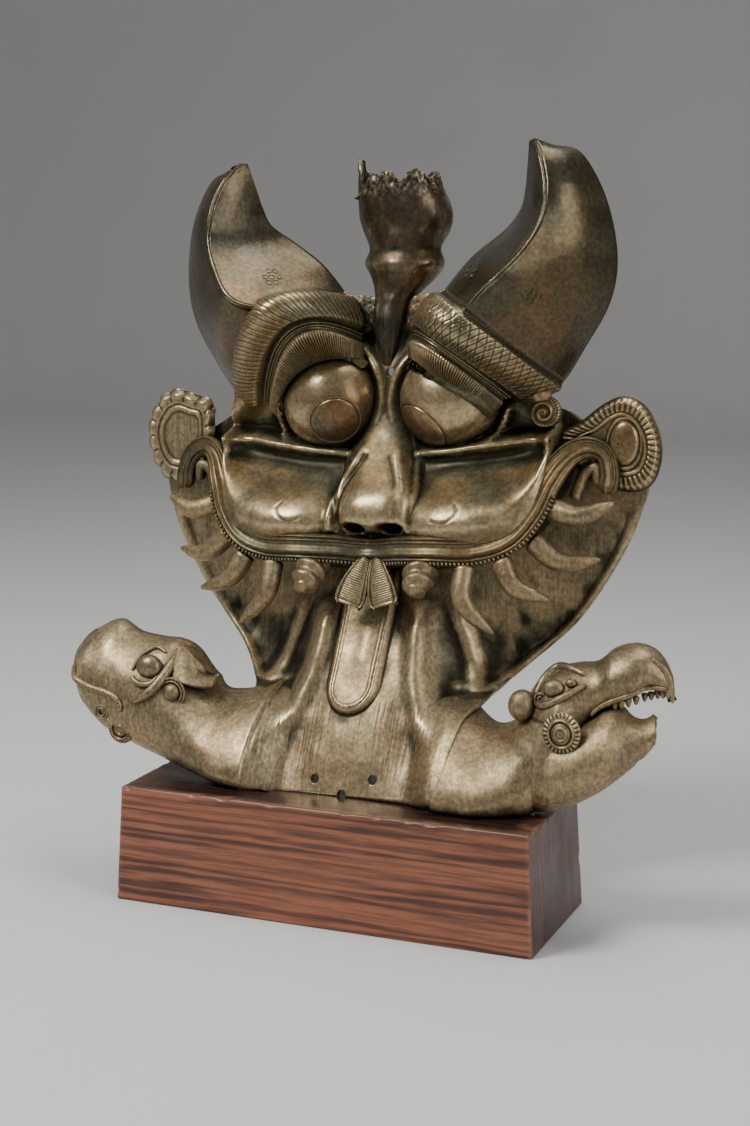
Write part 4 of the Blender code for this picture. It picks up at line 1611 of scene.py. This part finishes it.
@dataclass
class Temple:
    """The scroll knob at the right temple, where the brow's bands end."""

    centre: tuple[float, float, float] = (97.0, 58.0, 282.0)
    radius: float = 9.5
    turns: float = 2.4

    def build(self, finish: bpy.types.Material) -> None:
        """A low dome with a spiral ridge: a sine of turns times the reach plus the angle round.

        Args:
            finish: its finish.
        """
        reach = np.linspace(0.02, 1, 46)[:, None]
        turn = np.linspace(0, TURN, 121)[None, :]
        ridge = np.sin(TURN * self.turns * reach - turn)
        height = 8 * np.sqrt(np.clip(1.02 - reach**2, 0, 1)) + 0.9 * ridge * smooth_step(reach * 4)
        height = height + 0.25 * np.sin(turn * 30) * smooth_step((reach - 0.6) / 0.1)
        x = self.centre[0] + self.radius * reach * np.cos(turn)
        z = self.centre[2] + self.radius * reach * np.sin(turn)
        cast = Casting()
        cast.sheet(place(np.stack([x, self.centre[1] - height, z], -1), Side.RIGHT), 3.0, closed=True)
        cast.make("temple_scroll", finish)


# The finial: radius and depth of its middle at each height
FINIAL = [(310, 3.6, 60), (320, 6.4, 62), (329, 8.4, 63), (338, 10, 65), (347, 11.8, 69), (353, 15, 73),
          (359, 19, 76), (368, 24, 78), (377, 22, 79), (388, 26.5, 80), (397, 28, 80), (409, 26.5, 79),
          (421, 24, 78.5)]


@dataclass
class Finial:
    """The broken hollow stem between the horns, with the pitted web of metal at its foot."""

    wall: float = 3.4
    rows: int = 181
    columns: int = 151
    half_turn: float = 0.78
    sliver: float = 9.0
    aside: float = 4.0
    web_foot: float = 328.0
    web_wall: float = 3.0

    def build_stem(self, finish: bpy.types.Material) -> None:
        """Front of a turned profile: x is radius times sine, depth less 0.8 radius times cosine.

        The top rises and falls with sine waves, soft random relief and one tall splinter.

        Args:
            finish: its finish.
        """
        profile = spline(FINIAL, self.rows)
        turn = np.linspace(-self.half_turn, self.half_turn, self.columns) * math.pi
        z = profile[:, :1] + 0 * turn
        pits = smooth_step((z - 404) / 14)
        rise = smooth_step((z - 402) / 19)
        radius = profile[:, 1:2] + 0.5 * uneven(turn * 4 + 40, z / 9, 41)
        pitting = 0.7 * uneven(turn * 9 + 40, z / 3.4, 42) + 0.35 * uneven(turn * 20 + 80, z / 1.6, 43)
        radius = radius + pits * pitting
        ragged = 1.2 * np.sin(turn * 3) + 0.8 * np.sin(turn * 9 + 1) - 12 * bump(turn + 0.92, 0.24) - 1
        ragged = ragged + 1.6 * uneven(turn * 8 + 40, 0 * turn, 44)
        ragged = ragged + 0.5 * uneven(turn * 19 + 80, 0 * turn, 45)
        ragged = ragged + self.sliver * bump(turn + 1.42, 0.15) - 3 * bump(turn - 0.3, 0.2)
        lean = smooth_step((z - 340) / 25) - smooth_step((z - 395) / 28)
        x = radius * np.sin(turn) + self.aside * lean - 1.5
        y = profile[:, 2:] - radius * np.cos(turn) * 0.8
        cast = Casting()
        cast.sheet(place(np.stack([x, y, z + rise * ragged], -1), Side.RIGHT, 0), self.wall)
        cast.make("finial", finish)

    def build_web(self, finish: bpy.types.Material) -> None:
        """One ragged sheet for each side: its middle swells forward by a sine of the share up.

        Args:
            finish: its finish.
        """
        across = np.linspace(0, 1, 61)[None, :]
        up = np.linspace(0, 1, 40)[:, None]
        top = 347 + 6 * across + 0.8 * uneven(across * 9, 0 * across, 46)
        top = top + 0.3 * uneven(across * 23, 0 * across, 47)
        x = 2 + 32 * across + 0 * up
        z = self.web_foot + (top - self.web_foot) * up
        y = 67 - 2.0 * np.sin(up * math.pi) + 0.35 * uneven(x / 3, z / 3, 48)
        y = y + 0.2 * uneven(x / 1.4, z / 1.4, 49)
        cast = Casting()
        for side in Side:
            cast.sheet(place(np.stack([x, y, z], -1), side), self.web_wall)
        cast.make("web", finish)

    def build(self, finish: bpy.types.Material, rough: bpy.types.Material) -> None:
        """Make the stem in one finish and the web in a rougher one."""
        self.build_stem(finish)
        self.build_web(rough)


@dataclass(frozen=True)
class Rosewood:
    """Polished rosewood: wavy darker lines across one axis, drawn out along the grain."""

    name: str
    light: Colour = (0.30, 0.105, 0.052)
    dark: Colour = (0.060, 0.020, 0.014)
    across: str = "Z"
    drawn: Colour = (0.055, 1.0, 1.0)
    pores: Colour = (140.0, 2600.0, 2600.0)
    roughness: float = 0.36

    def material(self) -> bpy.types.Material:
        """Build the finish.

        Returns:
            A material of distorted bands and drawn-out noise, with fine fibres and dark short pores.
        """
        p = Pattern(self.name)
        drawn = p.stretched(self.drawn)
        waves = {"Vector": drawn, "Scale": 52.0, "Distortion": 13.0, "Detail": 5.0,
                 "Detail Scale": 1.1, "Detail Roughness": 0.65}
        lines = p.node("ShaderNodeTexWave", waves, bands_direction=self.across).outputs["Fac"]
        clouds = p.noise(75.0, 6, drawn, 0.8)
        fibres = p.noise(620.0, 3, drawn)
        pores = p.span(p.noise(1.0, 2, p.stretched(self.pores)), 0.34, 0.24)
        mixed = p.maths("ADD", p.maths("MULTIPLY", lines, 0.30), clouds)
        tone = p.blend(p.span(mixed, 0.40, 0.86), self.dark, self.light)
        tone = p.blend(p.span(fibres, 0.40, 0.75, 0.0, 0.5), tone, self.dark)
        tone = p.blend(p.maths("MULTIPLY", pores, 0.75), tone, (0.02, 0.008, 0.006))
        edge = p.attribute("edge")
        tone = p.blend(p.maths("MULTIPLY", edge, 0.40), tone, (0.42, 0.21, 0.125))
        grain = p.relief(fibres, 0.10, 0.0004, p.relief(pores, -0.25, 0.0003))
        rough = p.span(p.noise(40, 4), 0.3, 0.7, self.roughness - 0.05, self.roughness + 0.08)
        return p.finish(tone, rough, grain, 0.0)


@dataclass
class Block:
    """The rosewood block: four sides that lean in a little, eased edges and a few small chips."""

    top: tuple[float, float] = (0.250, 0.089)
    foot: tuple[float, float] = (0.2566, 0.0952)
    height: float = 0.0683
    edge: float = 0.0011
    chips: float = 0.0009
    chip_cell: float = 0.006
    chip_reach: float = 0.003
    worn: float = 0.0016

    def section(self) -> tuple[Array, Array, Array]:
        """Path from the middle of the foot, up a side, to the middle of the top.

        Its two corners are quarter circles of the edge's radius.

        Returns:
            For each ring: its share of the outline's size, how far it is pulled in and its height.
        """
        quarter = np.linspace(0, math.pi / 2, 5)
        e, full = self.edge, 1 + 0 * quarter
        share = [np.linspace(0.04, 0.99, 10), full, np.ones(40), full, np.linspace(0.99, 0.0, 12)]
        pull = [np.full(10, e), e * (1 - np.sin(quarter)), np.zeros(40), e * (1 - np.cos(quarter)),
                np.full(12, e)]
        rise = [np.zeros(10), e * (1 - np.cos(quarter)), np.linspace(e, self.height - e, 42)[1:-1],
                self.height - e + e * np.sin(quarter), np.full(12, self.height)]
        return np.concatenate(share), np.concatenate(pull), np.concatenate(rise)

    def rounded(self, half_x: Array, half_y: Array) -> tuple[Array, Array]:
        """Rounded rectangles: quarter circles of the edge's radius, with straight runs between them.

        Args:
            half_x: half of each one's length.
            half_y: half of each one's width.

        Returns:
            The places along x and along y, one row for each rectangle.
        """
        e, quarter = self.edge, np.linspace(0, math.pi / 2, 5)
        run = np.sin(np.linspace(-math.pi / 2, math.pi / 2, 120)) * 0.5 + 0.5
        short = np.sin(np.linspace(-math.pi / 2, math.pi / 2, 48)) * 0.5 + 0.5
        corner_x, corner_y = half_x - e, half_y - e
        parts = []
        for sx, sy, turn in ((1, -1, -math.pi / 2), (1, 1, 0.0), (-1, 1, math.pi / 2), (-1, -1, math.pi)):
            arc = turn + quarter[None, :]
            cx, cy = sx * corner_x + e * np.cos(arc), sy * corner_y + e * np.sin(arc)
            parts.append((cx, cy))
        x, y = [], []
        for k, (cx, cy) in enumerate(parts):
            nx, ny = parts[(k + 1) % 4]
            line = (run if k % 2 else short)[None, 1:-1]
            x += [cx, cx[:, -1:] + (nx[:, :1] - cx[:, -1:]) * line]
            y += [cy, cy[:, -1:] + (ny[:, :1] - cy[:, -1:]) * line]
        return np.concatenate(x, 1), np.concatenate(y, 1)

    def form(self) -> tuple[Array, Array]:
        """Rings of the section, chipped inwards near the edges where random relief is high.

        Nearness to an edge is the product of two bells, one for each face that meets there.

        Returns:
            Rows by columns of points in metres, and how worn each one is.
        """
        inset, pull, rise = (row[:, None] for row in self.section())
        share = rise / self.height
        half_x = (self.foot[0] + (self.top[0] - self.foot[0]) * share) / 2 - pull
        half_y = (self.foot[1] + (self.top[1] - self.foot[1]) * share) / 2 - pull
        x, y = (places * inset for places in self.rounded(half_x, half_y))
        z = rise + 0 * x
        from_x, from_y = np.abs(x) - half_x, np.abs(y) - half_y
        bell_x, bell_y = bump(from_x, self.worn), bump(from_y, self.worn)
        near_top = bump(z - self.height, self.worn) * (inset > 0.97)
        near = np.clip(near_top * np.maximum(bell_y, bell_x) + bell_x * bell_y, 0, 1)
        relief = uneven(x / self.chip_cell + 40, (y + z) / self.chip_cell + 40, 51)
        chip = smooth_step((relief - 0.42) / 0.2) * near
        inward_x = -np.sign(x) * (np.abs(from_x) < self.chip_reach)
        inward_y = -np.sign(y) * (np.abs(from_y) < self.chip_reach)
        inward = np.stack([inward_x, inward_y, -0.8 + 0 * z], -1)
        grid = np.stack([x, y, z], -1) + inward * chip[..., None] * self.chips
        grid[..., 2] = np.clip(grid[..., 2], 0, self.height)
        return grid, np.clip(near * 0.6 + chip, 0, 1)

    def build(self, sides: bpy.types.Material, ends: bpy.types.Material, top: bpy.types.Material) -> None:
        """Mesh of the form, whose faces take a finish by the way they face: the ends and the top are darker
        copies of the sides' rosewood, painted shade.

        Args:
            sides: finish of the long faces.
            ends: finish of the short faces, their end grain darkened further as painted shade.
            top: finish of the top, darkened as painted shade.
        """
        grid, wear = self.form()
        index = Casting.numbered(grid)
        faces = Casting.quads(index, True) + [index[0, ::-1].tolist()]
        mesh = bpy.data.meshes.new("plinth")
        mesh.from_pydata(grid.reshape(-1, 3).tolist(), [], faces)
        mesh.attributes.new("edge", "FLOAT", "POINT").data.foreach_set("value", wear.ravel())
        for finish in (sides, ends, top):
            mesh.materials.append(finish)
        normal = np.empty(len(mesh.polygons) * 3)
        mesh.polygons.foreach_get("normal", normal)
        normal = normal.reshape(-1, 3)
        # Upward faces take the top's painted shade and the end faces take the ends' painted shade; the rest
        # take the sides' rosewood.
        which = np.where(normal[:, 2] > 0.7, 2, np.where(np.abs(normal[:, 0]) > 0.7, 1, 0))
        mesh.polygons.foreach_set("material_index", which.astype(np.int32))
        mesh.shade_smooth()
        made = bpy.data.objects.new("plinth", mesh)
        bpy.context.scene.collection.objects.link(made)
        dress(made, "block")


@dataclass
class Studio:
    """A pale floor, soft lights and the camera at the photograph's angle."""

    camera_at: tuple[float, float, float] = (0.4234, -0.9680, 0.3863)
    azimuth: float = 22.726
    pitch: float = 9.934
    roll: float = -0.279
    lens: float = 60.31
    floor_half: float = 4.5
    cove_start: float = 2.6
    cove_radius: float = 1.0
    sky: float = 0.30
    key_power: float = 17.0
    top_power: float = 9.0
    side_power: float = 8.0

    def soft_light(self, name: str, at: tuple[float, float, float], aim: tuple[float, float, float],
                   size: tuple[float, float], power: float) -> None:
        """A rectangular light that looks at a place.

        Args:
            name: its name.
            at: where it hangs.
            aim: what it looks at.
            size: width and height in metres.
            power: watts.
        """
        data = bpy.data.lights.new(name, "AREA")
        data.shape = "RECTANGLE"
        data.size, data.size_y = size
        data.energy = power
        made = bpy.data.objects.new(name, data)
        made.location = at
        towards = np.array(aim, float) - np.array(at, float)
        towards /= np.linalg.norm(towards)
        made.rotation_euler = (math.acos(-towards[2]), 0, math.atan2(towards[0], -towards[1]) + math.pi)
        bpy.context.scene.collection.objects.link(made)

    def build_camera(self) -> None:
        """Camera looking down its azimuth and pitch, rolled a little."""
        data = bpy.data.cameras.new("camera")
        data.lens = self.lens
        data.sensor_fit = "VERTICAL"
        data.sensor_height = 36.0
        made = bpy.data.objects.new("camera", data)
        az, el, roll = (math.radians(v) for v in (self.azimuth, self.pitch, self.roll))
        back = np.array([math.sin(az) * math.cos(el), -math.cos(az) * math.cos(el), math.sin(el)])
        flat = np.array([math.cos(az), math.sin(az), 0.0])
        up = np.cross(back, flat)
        right = math.cos(roll) * flat + math.sin(roll) * up
        up = -math.sin(roll) * flat + math.cos(roll) * up
        turned = np.eye(4)
        turned[:3, 0], turned[:3, 1], turned[:3, 2], turned[:3, 3] = right, up, back, self.camera_at
        made.matrix_world = Matrix(turned.tolist())
        bpy.context.scene.collection.objects.link(made)
        bpy.context.scene.camera = made

    def build(self) -> None:
        """Make the floor, which bends up behind, the lights, the even surroundings and the camera."""
        mesh = bpy.data.meshes.new("floor")
        bend = np.linspace(0, math.pi / 2, 25)
        bent = self.cove_start + self.cove_radius * np.sin(bend)
        run = np.concatenate([[-self.floor_half], bent, [self.cove_start + self.cove_radius]])[:, None]
        rise = np.concatenate([[0], self.cove_radius * (1 - np.cos(bend)), [self.floor_half]])[:, None]
        across = np.array([[-self.floor_half, self.floor_half]])
        grid = np.stack([across + 0 * run, run + 0 * across, rise + 0 * across], -1)
        mesh.from_pydata(grid.reshape(-1, 3).tolist(), [], Casting.quads(Casting.numbered(grid)))
        mesh.shade_smooth()
        floor = bpy.data.objects.new("floor", mesh)
        bpy.context.scene.collection.objects.link(floor)
        p = Pattern("pale floor")
        tone = p.blend(p.noise(3.0, 2), (0.62, 0.62, 0.61), (0.66, 0.66, 0.655))
        mesh.materials.append(p.finish(tone, 0.7, p.relief(p.noise(300.0, 2), 0.02, 0.0005), 0.0))
        world = bpy.data.worlds.new("surroundings")
        world.use_nodes = True
        world.node_tree.nodes["Background"].inputs["Color"].default_value = (0.88, 0.87, 0.85, 1.0)
        world.node_tree.nodes["Background"].inputs["Strength"].default_value = self.sky
        bpy.context.scene.world = world
        middle = (0.0, 0.03, 0.26)
        self.soft_light("key light", (-0.55, -0.65, 1.25), middle, (0.45, 0.45), self.key_power)
        self.soft_light("top light", (0.15, 0.25, 1.45), middle, (0.9, 0.6), self.top_power)
        self.soft_light("side light", (1.35, -0.45, 0.75), middle, (0.7, 1.0), self.side_power)
        self.build_camera()


# Places of the small rings on each horn, as (station from the tip, share across)
RINGS = {
    Side.LEFT: ((4.90, 0.248), (4.96, 0.219), (5.10, 0.254), (5.04, 0.280), (4.83, 0.274), (4.68, 0.238),
                (4.75, 0.213)),
    Side.RIGHT: ((4.69, 0.685), (4.61, 0.707), (4.75, 0.714), (4.83, 0.691), (4.78, 0.662), (4.64, 0.656),
                 (4.55, 0.678), (5.24, 0.129), (5.11, 0.219), (5.25, 0.248), (5.37, 0.161), (5.10, 0.100)),
}


def main() -> None:
    """Build the block, the mask's pieces and the studio, one after another."""
    skin = Bronze("patinated bronze").material()
    pale = Bronze("dusty bronze", olive=(0.30, 0.222, 0.118), grey=(0.215, 0.170, 0.100),
                  warm=(0.28, 0.160, 0.090), brushed=0.40, roughness=0.44, green_share=0.15,
                  warm_share=0.45).material()
    # The horns' polished bronze: their own dark metal, with the base darkened further as a painted dark
    # reflection.
    polished = Bronze("polished bronze with painted dark reflection", olive=(0.098, 0.074, 0.038), grey=(0.076, 0.065, 0.043),
                      warm=(0.16, 0.085, 0.045), worn=(0.32, 0.27, 0.17), roughness=0.28,
                      metallic=0.88, green_share=0.2, warm_share=0.4).material()
    glossy = Bronze("warm glossy bronze", olive=(0.20, 0.112, 0.052), grey=(0.125, 0.098, 0.060),
                    warm=(0.26, 0.105, 0.042), roughness=0.36, warm_share=0.6, green_share=0.3).material()
    dark = Bronze("dark bronze", olive=(0.085, 0.060, 0.032), grey=(0.060, 0.050, 0.034),
                  warm=(0.12, 0.065, 0.035), worn=(0.26, 0.20, 0.125), roughness=0.36).material()
    # The ends and the top are darker copies of the sides' rosewood: painted shade, besides the ends' own end
    # grain.
    sides = Rosewood("rosewood sides").material()
    ends = Rosewood("rosewood ends in painted shade", light=(0.110, 0.048, 0.038), dark=(0.034, 0.014, 0.013), across="Y",
                    drawn=(1.0, 1.0, 0.12), pores=(2600.0, 2600.0, 160.0)).material()
    top = Rosewood("rosewood top in painted shade", light=(0.052, 0.022, 0.015), dark=(0.016, 0.008, 0.006), across="Y",
                   roughness=0.27).material()
    Block().build(sides, ends, top)
    FaceAndNeck().build(pale, skin)
    for side in Side:
        Horn(side, rings=RINGS[side]).build(polished, skin)
        Ear(side).build(pale if side is Side.LEFT else skin)
    Eyeball(Side.LEFT, azimuth=25.0, drop=24.0, iris=28.0).build(glossy)
    Eyeball(Side.RIGHT, azimuth=35.5, drop=37.5, iris=34.0).build(glossy)
    Mouth().build(skin, pale)
    Heads().build(pale)
    Finial().build(dark, skin)
    Temple().build(skin)
    Studio().build()


if __name__ == "__main__":
    logging.basicConfig(level=logging.INFO, format="%(message)s")
    main()
